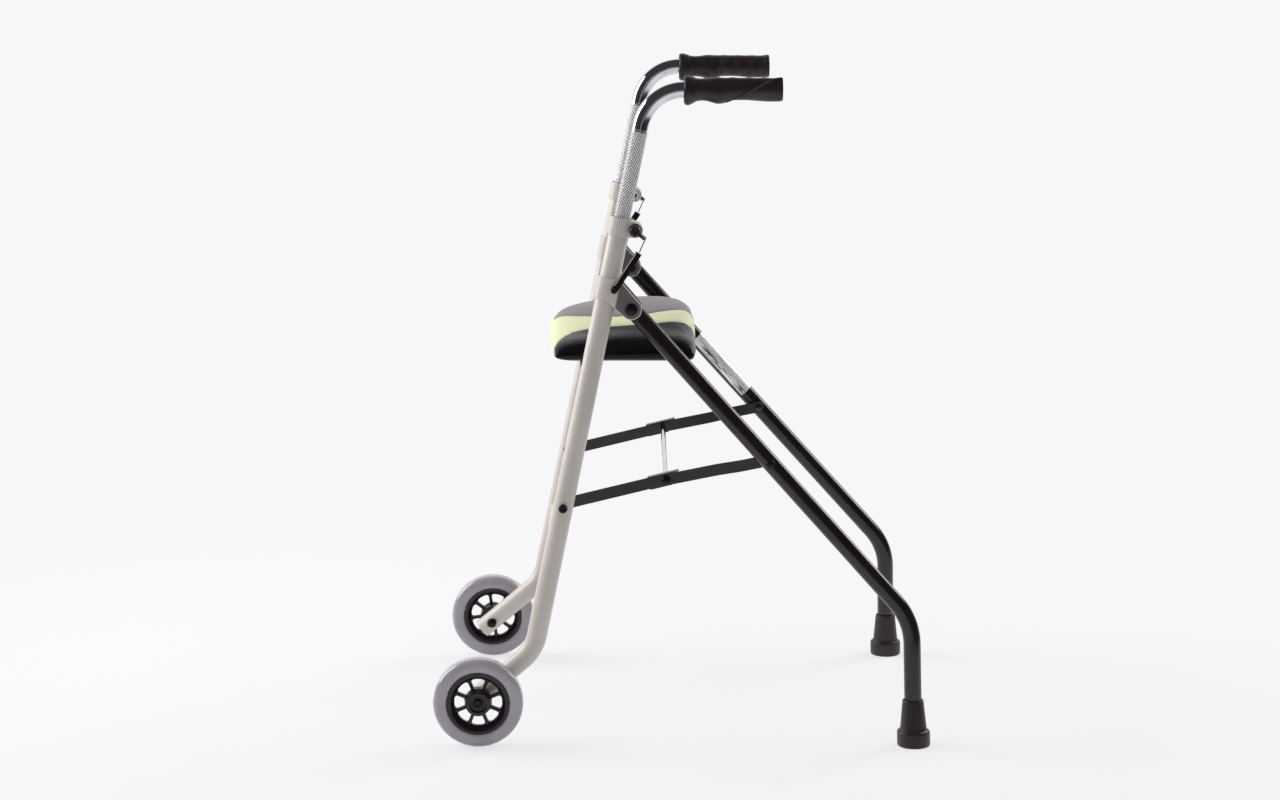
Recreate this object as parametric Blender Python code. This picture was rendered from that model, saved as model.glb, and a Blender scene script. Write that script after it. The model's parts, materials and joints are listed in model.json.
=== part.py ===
"""Two-wheeled folding walker with a seat: a standalone Blender 4.5 model.

Metres, +Z up. The wheels face -Y, the user stands at +Y and +X is the walker's left.
The origin is on the floor, in the middle of the footprint. The legs are open and the seat is down.
"""
import math

import bmesh
import bpy
from mathutils import Matrix, Vector

# Stance
WHEELBASE = 0.604
GRIP_HEIGHT = 0.906
FRAME_HALF_WIDTH = 0.208
LEG_SPLAY = 0.022
FOOT_SPLAY = 0.0385

# Fits
FIT_GAP = 0.0003
PIN_PLAY = 0.0003

# Front tubes
TUBE_R = 0.014
TUBE_WALL = 0.0015
TUBE_SIDES = 16
TUBE_LEAN = math.radians(11.5)
FORK_RISE = math.radians(40.0)
FORK_LENGTH = 0.0998
FORK_END_PAST_AXLE = 0.020
FORK_BEND_R = 0.065
FORK_PLUG = 0.003
TUBE_TOP_HEIGHT = 0.724

# Wheels
WHEEL_R = 0.0625
WHEEL_SIDES = 28
TYRE_HALF_WIDTH = 0.0143
TYRE_SEAT_R = 0.0442
TYRE_SEAT_HALF_WIDTH = 0.0125
RIM_WINDOW_R = 0.0332
RIM_SPOKES = 8
SPOKE_WIDTH = 0.0046
RIM_WEB_HALF = 0.003
HUB_R = 0.0175
HUB_HALF_WIDTH = 0.016
HUB_RECESS_R = 0.0118
HUB_RECESS_DEPTH = 0.005
BUSH_WALL = 0.0024
AXLE_R = 0.004
SPACER_WALL = 0.003
SPACER_LENGTH = 0.0064

# Handles
HANDLE_R = 0.0111
HANDLE_WALL = 0.0015
HANDLE_BEND_R = 0.060
HANDLE_INSERTION = 0.164
GRIP_LENGTH = 0.1335
GRIP_END_WALL = 0.006
GRIP_FRONT_TO_BEND = 0.0482
GUIDE_LENGTH = 0.040
COLLAR_GRIP = 0.016
COLLAR_LENGTH = 0.025
COLLAR_WALL = 0.0025
CLAMP_SETBACK = 0.0207
CLAMP_EAR_R = 0.0104
CLAMP_EAR_HALF = 0.0127
CLAMP_SLIT = 0.003
CLAMP_BOLT_R = 0.003
CLAMP_NUT_R = 0.0058
CLAMP_NUT_THICK = 0.005
WASHER_R = 0.0094
WASHER_THICK = 0.0012
KNOB_R = 0.0075
KNOB_LENGTH = 0.010

# Rear legs
LEG_R = 0.012
LEG_WALL = 0.0015
LEG_PIVOT_BELOW_TOP = 0.116
LEG_PIVOT_SETBACK = 0.038
LEG_ANGLE = math.radians(41.8)
LEG_TOP_PAST_PIVOT = 0.014
LEG_BEND_R = 0.090
FOOT_RAKE = math.radians(1.3)
FERRULE_HEIGHT = 0.064
FERRULE_TOP_R = 0.0147
FERRULE_CONE_R = 0.0182
FERRULE_BASE_R = 0.0229
FERRULE_BASE_HEIGHT = 0.0225
FERRULE_FLOOR = 0.008

# Leg pivot bracket
BRACKET_SHEET = 0.0018
BRACKET_END_R = 0.0143
BRACKET_LOW_RISE = 0.012
BRACKET_HIGH_RISE = 0.043
PIVOT_BOLT_R = 0.004

# Lock lever and its spring link
LEVER_PIN_AHEAD = 0.0228
LEVER_PIN_ABOVE = 0.0280
LEVER_LENGTH = 0.0657
LEVER_TAIL = 0.0058
LEVER_WIDTH = 0.009
LEVER_THICK = 0.0045
LEVER_ANGLE = math.radians(33.4)
LEVER_PIN_R = 0.002
LINK_WIRE_R = 0.00075
LINK_COIL_R = 0.0025
LINK_COIL_TURNS = 4
LINK_COIL_PITCH = 0.0022
LINK_COIL_START = 0.0088
LINK_POINTS_PER_TURN = 9

# Side stays
STAY_FRONT_HEIGHT = 0.331
STAY_REAR_HEIGHT = 0.3946
STAY_RISE = 0.003
STAY_HALF_HEIGHT = 0.008
STAY_THICK = 0.003
STAY_BOLT_R = 0.003
STAY_SPACER = 0.003
JOGGLE_START = 0.072
JOGGLE_END = 0.104
COVER_SHEET = 0.0015
COVER_FRONT = 0.024
COVER_CHEEK_REAR = 0.0085
COVER_TONGUE = 0.0204
ROD_R = 0.0036
ROD_SPIGOT_R = 0.0025
KNEE_NUT_DEPTH = 0.0040

# Cross tubes and seat
SEAT_BELOW_PIVOT = 0.091
SEAT_TUBE_R = 0.011
LOWER_TUBE_HEIGHT = 0.240
LOWER_TUBE_R = 0.0095
BOARD_THICK = 0.0078
BOARD_INSET = 0.010
SADDLE_HALF_SPACING = 0.120
SADDLE_WIDTH = 0.024
SADDLE_WALL = 0.0035
SADDLE_FLANGE = 0.011
SADDLE_FLANGE_THICK = 0.005
PEG_R = 0.006
PEG_OVERLAP = 0.015
PEG_STUD_R = 0.003
SEAT_SIDE_GAP = 0.014
CUSHION_FRONT = 0.0559
CUSHION_REAR = 0.1461
CUSHION_CROWN = 0.0492
CUSHION_SIDE_HEIGHT = 0.026
CUSHION_SEAM_INNER = 0.085
CUSHION_SEAM_OUTER = 0.130
CUSHION_SEAM_DEPTH = 0.0015

# Places that follow from the sizes above, as (y, z) in the side view
UP_TUBE = (math.sin(TUBE_LEAN), math.cos(TUBE_LEAN))
BEHIND_TUBE = (math.cos(TUBE_LEAN), -math.sin(TUBE_LEAN))
AXLE_Y = -(WHEELBASE + FERRULE_BASE_R - WHEEL_R) / 2
AXLE = (AXLE_Y, WHEEL_R)
FORK_UP = (math.cos(FORK_RISE), math.sin(FORK_RISE))


def shift(point, direction, distance):
    """Move a side-view point along a side-view direction."""
    return (point[0] + direction[0] * distance, point[1] + direction[1] * distance)


FORK_BEND = shift(AXLE, FORK_UP, FORK_LENGTH)


def tube_at(height):
    """The point of the front tube's axis at a height."""
    return (FORK_BEND[0] + math.tan(TUBE_LEAN) * (height - FORK_BEND[1]), height)


FOOT_Y = AXLE_Y + WHEELBASE
FOOT_HALF_WIDTH = FRAME_HALF_WIDTH + FOOT_SPLAY
LEG_BEND_HALF_WIDTH = FRAME_HALF_WIDTH + LEG_SPLAY
LEG_PIVOT_HEIGHT = TUBE_TOP_HEIGHT - LEG_PIVOT_BELOW_TOP
PIVOT = (tube_at(LEG_PIVOT_HEIGHT)[0] + LEG_PIVOT_SETBACK, LEG_PIVOT_HEIGHT)
LEG_BEND_HEIGHT = ((PIVOT[0] + math.tan(LEG_ANGLE) * PIVOT[1] - FOOT_Y)
                   / (math.tan(LEG_ANGLE) - math.tan(FOOT_RAKE)))
LEG_BEND = (FOOT_Y - math.tan(FOOT_RAKE) * LEG_BEND_HEIGHT, LEG_BEND_HEIGHT)
LEG_DOWN = (math.sin(LEG_ANGLE), -math.cos(LEG_ANGLE))


def leg_at(height):
    """The point of a rear leg's upper axis at a height."""
    return (PIVOT[0] + math.tan(LEG_ANGLE) * (PIVOT[1] - height), height)


def leg_half_width(height):
    """How far a rear leg's axis is from the centre plane at a height."""
    if height < LEG_BEND_HEIGHT:
        share = height / LEG_BEND_HEIGHT
        return FOOT_HALF_WIDTH + (LEG_BEND_HALF_WIDTH - FOOT_HALF_WIDTH) * share
    share = (PIVOT[1] - height) / (PIVOT[1] - LEG_BEND_HEIGHT)
    return FRAME_HALF_WIDTH + (LEG_BEND_HALF_WIDTH - FRAME_HALF_WIDTH) * share


COLLAR_BASE = tube_at(TUBE_TOP_HEIGHT - COLLAR_GRIP)
COLLAR_MIDDLE = shift(COLLAR_BASE, UP_TUBE, COLLAR_LENGTH / 2)
CLAMP = shift(COLLAR_MIDDLE, BEHIND_TUBE, CLAMP_SETBACK)
GRIP_FRONT = (tube_at(GRIP_HEIGHT)[0] + GRIP_FRONT_TO_BEND, GRIP_HEIGHT)
GRIP_REAR = (GRIP_FRONT[0] + GRIP_LENGTH, GRIP_HEIGHT)

STAY_B = tube_at(STAY_FRONT_HEIGHT)
STAY_D = leg_at(STAY_REAR_HEIGHT)
STAY_SPAN = math.dist(STAY_B, STAY_D)
STAY_SLOPE = math.atan2(STAY_D[1] - STAY_B[1], STAY_D[0] - STAY_B[0])
STAY_MIDDLE = ((STAY_B[0] + STAY_D[0]) / 2, (STAY_B[1] + STAY_D[1]) / 2)
STAY_C = shift(STAY_MIDDLE, (-math.sin(STAY_SLOPE), math.cos(STAY_SLOPE)), STAY_RISE)
STAY_LENGTH = math.dist(STAY_B, STAY_C)
FRONT_STAY_ANGLE = math.atan2(STAY_C[1] - STAY_B[1], STAY_C[0] - STAY_B[0])
REAR_STAY_ANGLE = math.atan2(STAY_D[1] - STAY_C[1], STAY_D[0] - STAY_C[0])

SEAT_TUBE_HEIGHT = LEG_PIVOT_HEIGHT - SEAT_BELOW_PIVOT
SEAT_AXIS = tube_at(SEAT_TUBE_HEIGHT)
BOARD_BOTTOM = SEAT_TUBE_HEIGHT + SEAT_TUBE_R + FIT_GAP * 2
BOARD_TOP = BOARD_BOTTOM + BOARD_THICK
CUSHION_BOTTOM = BOARD_TOP + FIT_GAP
PEG = leg_at(BOARD_BOTTOM - FIT_GAP - PEG_R)
CUSHION_HALF_WIDTH = FRAME_HALF_WIDTH - TUBE_R - SEAT_SIDE_GAP
BOARD_HALF_WIDTH = CUSHION_HALF_WIDTH - BOARD_INSET

# The lever lies on the bracket's outer cheek, and its pin is up and ahead of the leg pivot
LEVER_PIN = (PIVOT[0] - LEVER_PIN_AHEAD, PIVOT[1] + LEVER_PIN_ABOVE)
LEVER_UP = (math.sin(LEVER_ANGLE), math.cos(LEVER_ANGLE))
LEVER_BACK = (math.cos(LEVER_ANGLE), -math.sin(LEVER_ANGLE))
LEVER_TOP = shift(LEVER_PIN, LEVER_UP, LEVER_LENGTH - LEVER_TAIL)

# Stacks across the left side, from the middle of the walker outwards
TUBE_INNER_X = FRAME_HALF_WIDTH - TUBE_R
TUBE_OUTER_X = FRAME_HALF_WIDTH + TUBE_R
WHEEL_HALF_TRACK = TUBE_OUTER_X + SPACER_LENGTH + 2 * FIT_GAP + HUB_HALF_WIDTH
FRONT_STAY_X = TUBE_INNER_X - FIT_GAP - STAY_THICK
REAR_STAY_X = FRONT_STAY_X + STAY_THICK + FIT_GAP
COVER_INNER_X = FRONT_STAY_X - FIT_GAP - COVER_SHEET
COVER_OUTER_X = REAR_STAY_X + STAY_THICK + FIT_GAP
LEG_INNER_AT_D = leg_half_width(STAY_REAR_HEIGHT) - LEG_R
REAR_STAY_END_X = LEG_INNER_AT_D - STAY_SPACER - 2 * FIT_GAP - STAY_THICK
BRACKET_HALF = TUBE_R + FIT_GAP + BRACKET_SHEET
BRACKET_OUTER_X = FRAME_HALF_WIDTH + BRACKET_HALF
BRACKET_INNER_X = FRAME_HALF_WIDTH - BRACKET_HALF
LEVER_X = BRACKET_OUTER_X + FIT_GAP
EAR_OUTER_X = FRAME_HALF_WIDTH + CLAMP_EAR_HALF
WASHER_X = EAR_OUTER_X + FIT_GAP
LINK_EYE_X = WASHER_X + WASHER_THICK + FIT_GAP + LINK_WIRE_R
KNOB_X = LINK_EYE_X + LINK_WIRE_R + FIT_GAP

SIDES = {"left": 1.0, "right": -1.0}
HIDDEN_TYPES = "WIRE"


def start_empty():
    """Clear the scene's own objects."""
    for thing in list(bpy.data.objects):
        bpy.data.objects.remove(thing, do_unlink=True)


def linear(level):
    """One display colour level, 0 to 255, as scene light."""
    share = level / 255
    if share <= 0.04045:
        return share / 12.92
    return ((share + 0.055) / 1.055) ** 2.4


def material(name, colour, roughness, metallic=0.0):
    """A Principled material of one colour."""
    made = bpy.data.materials.new(name)
    made.use_nodes = True
    shader = made.node_tree.nodes["Principled BSDF"]
    shader.inputs["Base Color"].default_value = [linear(level) for level in colour] + [1.0]
    shader.inputs["Roughness"].default_value = roughness
    shader.inputs["Metallic"].default_value = metallic
    return made


def make_materials():
    """Every finish of the walker."""
    return {
        "grey_paint": material("grey_paint", (202, 196, 189), 0.32),
        "black_paint": material("black_paint", (30, 28, 30), 0.22),
        "chrome": material("chrome", (205, 206, 210), 0.12, 1.0),
        "zinc": material("zinc", (176, 178, 180), 0.35, 1.0),
        "black_steel": material("black_steel", (34, 32, 33), 0.4),
        "tyre_grey": material("tyre_grey", (150, 148, 152), 0.55),
        "black_plastic": material("black_plastic", (32, 29, 31), 0.38),
        "black_rubber": material("black_rubber", (30, 28, 29), 0.6),
        "soft_grip": material("soft_grip", (36, 32, 34), 0.62),
        "nylon": material("nylon", (210, 208, 200), 0.5),
        "seat_vinyl": material("seat_vinyl", (140, 134, 136), 0.5),
        "seat_board": material("seat_board", (36, 33, 34), 0.6),
    }


def finish_mesh(name, bm, surface, pivot=None, smooth_angle=35.0):
    """Turn a bmesh into a named object, placed on its joint's empty where it has one."""
    bmesh.ops.recalc_face_normals(bm, faces=bm.faces)
    mesh = bpy.data.meshes.new(name)
    bm.to_mesh(mesh)
    bm.free()
    made = bpy.data.objects.new(name, mesh)
    bpy.context.scene.collection.objects.link(made)
    if pivot is not None:
        mesh.transform(Matrix.Translation(-Vector(pivot.location)))
        made.parent = pivot
    if surface is None:
        made.hide_render = True
        made.display_type = HIDDEN_TYPES
    else:
        mesh.materials.append(surface)
        mesh.shade_smooth()
        mesh.set_sharp_from_angle(angle=math.radians(smooth_angle))
    return made


def joint_empty(name, x, point):
    """An empty on a joint's axis."""
    made = bpy.data.objects.new(name, None)
    made.empty_display_size = 0.02
    made.location = (x, point[0], point[1])
    bpy.context.scene.collection.objects.link(made)
    return made


def add_rings(bm, rings, wrap=False):
    """Bridge equal rings of points; the ends are capped, or joined to each other for a bored body."""
    rows = [[bm.verts.new(point) for point in ring] for ring in rings]
    pairs = list(zip(rows, rows[1:]))
    if wrap:
        pairs.append((rows[-1], rows[0]))
    for low, high in pairs:
        count = len(low)
        for index in range(count):
            after = (index + 1) % count
            bm.faces.new((low[index], low[after], high[after], high[index]))
    if not wrap:
        bm.faces.new(rows[0])
        bm.faces.new(rows[-1])
    return bm


def circle(centre, across, along, radius, sides, turn=0.5):
    """Points round a centre in the plane of two unit vectors."""
    points = []
    for index in range(sides):
        angle = (index + turn) * math.tau / sides
        points.append(centre + across * (radius * math.cos(angle)) + along * (radius * math.sin(angle)))
    return points


def bent_path(points, radius, steps):
    """A polyline with round bends, as (point, tangent) pairs."""
    path = [(points[0], (points[1] - points[0]).normalized())]
    for before, corner, after in zip(points, points[1:], points[2:]):
        arrive = (corner - before).normalized()
        leave = (after - corner).normalized()
        turn = arrive.angle(leave)
        inward = (leave - arrive * arrive.dot(leave)).normalized()
        centre = corner - arrive * (radius * math.tan(turn / 2)) + inward * radius
        for step in range(steps + 1):
            swept = turn * step / steps
            spoke = arrive * math.sin(swept) - inward * math.cos(swept)
            tangent = arrive * math.cos(swept) + inward * math.sin(swept)
            path.append((centre + spoke * radius, tangent))
    path.append((points[-1], (points[-1] - points[-2]).normalized()))
    return path


def tube_mesh(points, bend_radius, steps, outer, wall, plug=0.0, sides=TUBE_SIDES):
    """A bent tube: its outer skin, then its bore, in one closed mesh; a plug closes its first end."""
    path = bent_path(points, bend_radius, steps)
    normal = (points[1] - points[0]).cross(points[-1] - points[-2]).normalized()
    skins = []
    for radius, start in ((outer, 0.0), (outer - wall, plug)):
        places = [(path[0][0] + path[0][1] * start, path[0][1])] + path[1:]
        skin = []
        for spot, tangent in places:
            skin.append(circle(spot, normal, tangent.cross(normal), radius, sides))
        skins.append(skin)
    return add_rings(bmesh.new(), skins[0] + skins[1][::-1], wrap=plug == 0.0)


def turned(bm, profile, centre, axis, sides, bored=False, turn=0.5):
    """Turn a profile of (radius, distance along the axis) round an axis.

    A bored profile is a closed loop that never meets the axis.
    """
    axis = Vector(axis).normalized()
    across = Vector((0, 0, 1)) if abs(axis.z) < 0.9 else Vector((1, 0, 0))
    across = (across - axis * across.dot(axis)).normalized()
    along = axis.cross(across)
    rings = []
    for radius, offset in profile:
        rings.append(circle(centre + axis * offset, across, along, radius, sides, turn))
    return add_rings(bm, rings, wrap=bored)


def plate(bm, outline, x_low, x_high):
    """Extrude a side-view outline across the walker, between two x values."""
    low = [bm.verts.new((x_low, y, z)) for y, z in outline]
    high = [bm.verts.new((x_high, y, z)) for y, z in outline]
    count = len(outline)
    for index in range(count):
        after = (index + 1) % count
        bm.faces.new((low[index], low[after], high[after], high[index]))
    bm.faces.new(low)
    bm.faces.new(high)
    return bm


def arc(centre, radius, start, stop, steps):
    """Points of a side-view arc, in degrees anticlockwise from +Y."""
    points = []
    for step in range(steps + 1):
        angle = math.radians(start + (stop - start) * step / steps)
        points.append((centre[0] + radius * math.cos(angle), centre[1] + radius * math.sin(angle)))
    return points


def cross_cutter(name, x_low, x_high, point, radius, pivot=None, sides=10):
    """A drill along X."""
    length = x_high - x_low
    radius /= math.cos(math.pi / sides)
    centre = Vector((x_low, point[0], point[1]))
    bm = turned(bmesh.new(), [(radius, 0.0), (radius, length)], centre, (1, 0, 0), sides)
    return finish_mesh(name, bm, None, pivot)


def combine(target, other, operation="DIFFERENCE"):
    """Keep a Boolean on the target."""
    modifier = target.modifiers.new(f"{operation.lower()}_{other.name}", "BOOLEAN")
    modifier.operation = operation
    modifier.object = other
    modifier.solver = "EXACT"


def drill(target, x_low, x_high, point, radius, pivot=None, sides=10):
    """Bore a hole along X through a piece."""
    combine(target, cross_cutter(f"drill_{target.name}", x_low, x_high, point, radius, pivot, sides))


def across(side, x_near, x_far):
    """Order two distances from the centre plane as x values on one side."""
    return tuple(sorted((side * x_near, side * x_far)))


def along_tube(x, offset_behind, offset_up, base):
    """A point given by its distance behind and up the front tube from a point on the tube's axis."""
    y, z = shift(shift(base, BEHIND_TUBE, offset_behind), UP_TUBE, offset_up)
    return Vector((x, y, z))


def tube_frame():
    """The across, behind and up unit vectors of the front tubes."""
    return (Vector((1, 0, 0)), Vector((0, *BEHIND_TUBE)), Vector((0, *UP_TUBE)))


def straight_tube_mesh(x, base, low, high, outer, inner):
    """A ring or sleeve on a front tube's axis, in line with the tube's own facets."""
    right, behind, up = tube_frame()
    centre = Vector((x, *base))
    rings = []
    for radius, offset in ((outer, low), (outer, high), (inner, high), (inner, low)):
        rings.append(circle(centre + up * offset, right, behind, radius, TUBE_SIDES))
    return add_rings(bmesh.new(), rings, wrap=True)


def make_front_tube(label, side, finish):
    """The grey tube: plugged fork end, bend and riser, drilled for the axle and the front stay bolt."""
    x = side * FRAME_HALF_WIDTH
    fork_end = shift(AXLE, FORK_UP, -FORK_END_PAST_AXLE)
    points = [Vector((x, *point)) for point in (fork_end, FORK_BEND, tube_at(TUBE_TOP_HEIGHT))]
    bm = tube_mesh(points, FORK_BEND_R, 5, TUBE_R, TUBE_WALL, FORK_PLUG)
    tube = finish_mesh(f"front_tube_{label}", bm, finish)
    reach = across(side, TUBE_INNER_X - 0.002, TUBE_OUTER_X + 0.002)
    drill(tube, *reach, AXLE, AXLE_R + PIN_PLAY)
    drill(tube, *reach, STAY_B, STAY_BOLT_R + PIN_PLAY)
    return tube


def make_cross_tube(name, height, radius, finish):
    """A tube across the frame, its ends coped to the front tubes."""
    point = tube_at(height)
    reach = FRAME_HALF_WIDTH - TUBE_R * 0.25
    centre = Vector((-reach, *point))
    wall = TUBE_WALL
    profile = [(radius, 0), (radius, 2 * reach), (radius - wall, 2 * reach), (radius - wall, 0)]
    tube = finish_mesh(name, turned(bmesh.new(), profile, centre, (1, 0, 0), TUBE_SIDES, bored=True), finish)
    right, behind, up = tube_frame()
    for label, side in SIDES.items():
        base = Vector((side * FRAME_HALF_WIDTH, *point))
        rings = [circle(base + up * offset, right, behind, TUBE_R + FIT_GAP, TUBE_SIDES)
                 for offset in (-2 * radius, 2 * radius)]
        combine(tube, finish_mesh(f"cope_{name}_{label}", add_rings(bmesh.new(), rings), None))
    return tube


def make_guide_bush(label, side, finish):
    """The plastic liner in the mouth of a front tube, which the handle slides through."""
    top = tube_at(TUBE_TOP_HEIGHT)
    x = side * FRAME_HALF_WIDTH
    inner = HANDLE_R + FIT_GAP
    outer = TUBE_R - TUBE_WALL - FIT_GAP
    low = -GUIDE_LENGTH
    return finish_mesh(f"guide_bush_{label}", straight_tube_mesh(x, top, low, -0.0005, outer, inner), finish)


def make_clamp_collar(label, side, finish):
    """The split collar: a ring on the tube's mouth, two ears behind with a slit, and a fixed nut."""
    x = side * FRAME_HALF_WIDTH
    ring = straight_tube_mesh(x, COLLAR_BASE, 0.0, COLLAR_LENGTH, TUBE_R + FIT_GAP + COLLAR_WALL,
                              TUBE_R + FIT_GAP)
    collar = finish_mesh(f"clamp_collar_{label}", ring, finish)
    lean = math.degrees(TUBE_LEAN)
    ear = arc(CLAMP, CLAMP_EAR_R, -90 - lean + 8, 90 - lean - 8, 10)
    for up in (COLLAR_LENGTH - 0.0012, 0.0012):
        root = along_tube(0, TUBE_R * 0.72, up, COLLAR_BASE)
        ear.append((root.y, root.z))
    bm = plate(bmesh.new(), ear, x - CLAMP_EAR_HALF, x + CLAMP_EAR_HALF)
    combine(collar, finish_mesh(f"ears_{label}", bm, None), "UNION")
    ear_inner = FRAME_HALF_WIDTH - CLAMP_EAR_HALF
    profile = [(CLAMP_NUT_R - 0.0006, ear_inner - CLAMP_NUT_THICK), (CLAMP_NUT_R, ear_inner - CLAMP_NUT_THICK
               + 0.0008), (CLAMP_NUT_R, ear_inner + 0.001)]
    bm = turned(bmesh.new(), profile, Vector((0, *CLAMP)), (side, 0, 0), 6)
    combine(collar, finish_mesh(f"clamp_nut_{label}", bm, None), "UNION")
    right, behind, up = tube_frame()
    base = Vector((x, *COLLAR_BASE))
    rings = [circle(base + up * offset, right, behind, TUBE_R + FIT_GAP, TUBE_SIDES)
             for offset in (-0.002, COLLAR_LENGTH + 0.002)]
    combine(collar, finish_mesh(f"collar_bore_{label}", add_rings(bmesh.new(), rings), None))
    slit = []
    for behind_offset, up_offset in ((0.004, -0.003), (0.040, -0.003), (0.040, 0.030), (0.004, 0.030)):
        corner = along_tube(0, behind_offset, up_offset, COLLAR_BASE)
        slit.append((corner.y, corner.z))
    bm = plate(bmesh.new(), slit, x - CLAMP_SLIT / 2, x + CLAMP_SLIT / 2)
    combine(collar, finish_mesh(f"slit_{label}", bm, None))
    reach = across(side, ear_inner - CLAMP_NUT_THICK - 0.002, EAR_OUTER_X + 0.002)
    drill(collar, *reach, CLAMP, CLAMP_BOLT_R + PIN_PLAY)
    return collar


def make_clamp_knob(label, side, finish, pivot):
    """The round knob with its clamp bolt, which runs through the ears to the nut."""
    start = FRAME_HALF_WIDTH - CLAMP_EAR_HALF - 0.006 - KNOB_X
    profile = [(CLAMP_BOLT_R - 0.0006, start), (CLAMP_BOLT_R, start + 0.0006), (CLAMP_BOLT_R, 0.0),
               (KNOB_R - 0.0008, 0.0), (KNOB_R, 0.0012), (KNOB_R, KNOB_LENGTH - 0.002),
               (KNOB_R - 0.0012, KNOB_LENGTH - 0.0004), (KNOB_R - 0.003, KNOB_LENGTH)]
    centre = Vector((side * KNOB_X, *CLAMP))
    return finish_mesh(f"clamp_knob_{label}", turned(bmesh.new(), profile, centre, (side, 0, 0), 16),
                       finish, pivot)


def make_ring(name, finish, side, x, point, outer, inner, thick, sides=16, pivot=None):
    """A flat ring along X, whose inner face is at a distance from the centre plane."""
    profile = [(outer, x), (outer, x + thick), (inner, x + thick), (inner, x)]
    bm = turned(bmesh.new(), profile, Vector((0, *point)), (side, 0, 0), sides, bored=True)
    return finish_mesh(name, bm, finish, pivot)


def make_bolt(name, finish, side, point, nut_x, head_x, shank_r, nut, head, sides=12, pivot=None):
    """A bolt along X with its nut: the nut bears at nut_x on the inner side, the head at head_x.

    Nut and head are profiles of (radius, height) pairs that rise from their seats.
    """
    profile = [(radius, nut_x - height) for radius, height in reversed(nut)]
    profile += [(shank_r, nut_x), (shank_r, head_x)]
    profile += [(radius, head_x + height) for radius, height in head]
    bm = turned(bmesh.new(), profile, Vector((0, *point)), (side, 0, 0), sides)
    return finish_mesh(name, bm, finish, pivot)


def domed(radius, height, flat=0.24):
    """A domed head's profile, from its seat to its small flat top."""
    rim = 0.3
    middle = math.radians(52)
    return [(radius, 0.0), (radius, height * rim),
            (radius * math.cos(middle), height * (rim + (1 - rim) * math.sin(middle))),
            (radius * flat, height)]


def button(radius, height):
    """A flat round head's profile with a broken edge."""
    return [(radius, 0.0), (radius, height * 0.65), (radius * 0.84, height)]


def make_bracket(label, side, finish):
    """The sheet bracket: it wraps the tube's front, and its two cheeks run back to the leg pivot.

    It is the tube-wrapping channel, extruded up the tube, kept where the side outline covers it.
    """
    right, behind, up = tube_frame()
    x = side * FRAME_HALF_WIDTH
    base = Vector((x, *PIVOT)) - behind * (LEG_PIVOT_SETBACK * math.cos(TUBE_LEAN))
    channel = []
    steps = TUBE_SIDES // 2
    reach = LEG_PIVOT_SETBACK + 2 * BRACKET_END_R
    inner = TUBE_R + FIT_GAP
    for radius, order in ((BRACKET_HALF, 1), (inner, -1)):
        turns = [math.pi + math.pi * step / steps for step in range(steps + 1)]
        row = [(radius * math.cos(angle) / math.cos(math.pi / TUBE_SIDES), radius * math.sin(angle)
                / math.cos(math.pi / TUBE_SIDES)) for angle in turns[1:-1]]
        row = [(-radius, reach), (-radius, 0.0)] + row + [(radius, 0.0), (radius, reach)]
        channel += row[::order]
    bm = bmesh.new()
    rings = [[base + right * a + behind * b + up * height for a, b in channel]
             for height in (-reach, BRACKET_HIGH_RISE + reach)]
    add_rings(bm, rings)
    bracket = finish_mesh(f"pivot_bracket_{label}", bm, finish, smooth_angle=30.0)
    outline = bracket_outline()
    bm = plate(bmesh.new(), outline, x - BRACKET_HALF - 0.004, x + BRACKET_HALF + 0.004)
    combine(bracket, finish_mesh(f"bracket_outline_{label}", bm, None), "INTERSECT")
    drill(bracket, x - BRACKET_HALF - 0.002, x + BRACKET_HALF + 0.002, PIVOT, PIVOT_BOLT_R + PIN_PLAY)
    drill(bracket, *across(side, FRAME_HALF_WIDTH + TUBE_R - 0.001, BRACKET_OUTER_X + 0.002), LEVER_PIN,
          LEVER_PIN_R + PIN_PLAY)
    return bracket


def tangent_angle(point, centre, radius, sign):
    """The direction, in degrees, from a circle's centre to where a line from a point touches it."""
    toward = math.atan2(point[1] - centre[1], point[0] - centre[0])
    return math.degrees(toward + sign * math.acos(radius / math.dist(point, centre)))


def bracket_outline():
    """The bracket's side outline: a band round the tube, then cheeks down to the round end."""
    low = shift(tube_at(LEG_PIVOT_HEIGHT + BRACKET_LOW_RISE), BEHIND_TUBE, 0.001)
    high = tube_at(LEG_PIVOT_HEIGHT + BRACKET_HIGH_RISE)
    ahead = -(BRACKET_HALF + 0.004)
    rear_top = shift(high, BEHIND_TUBE, TUBE_R)
    start = tangent_angle(low, PIVOT, BRACKET_END_R, 1)
    stop = tangent_angle(rear_top, PIVOT, BRACKET_END_R, -1)
    end = arc(PIVOT, BRACKET_END_R, start - 360 if start > stop else start, stop, 9)
    return [shift(low, BEHIND_TUBE, ahead), low] + end + [rear_top, shift(high, BEHIND_TUBE, ahead)]


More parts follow.
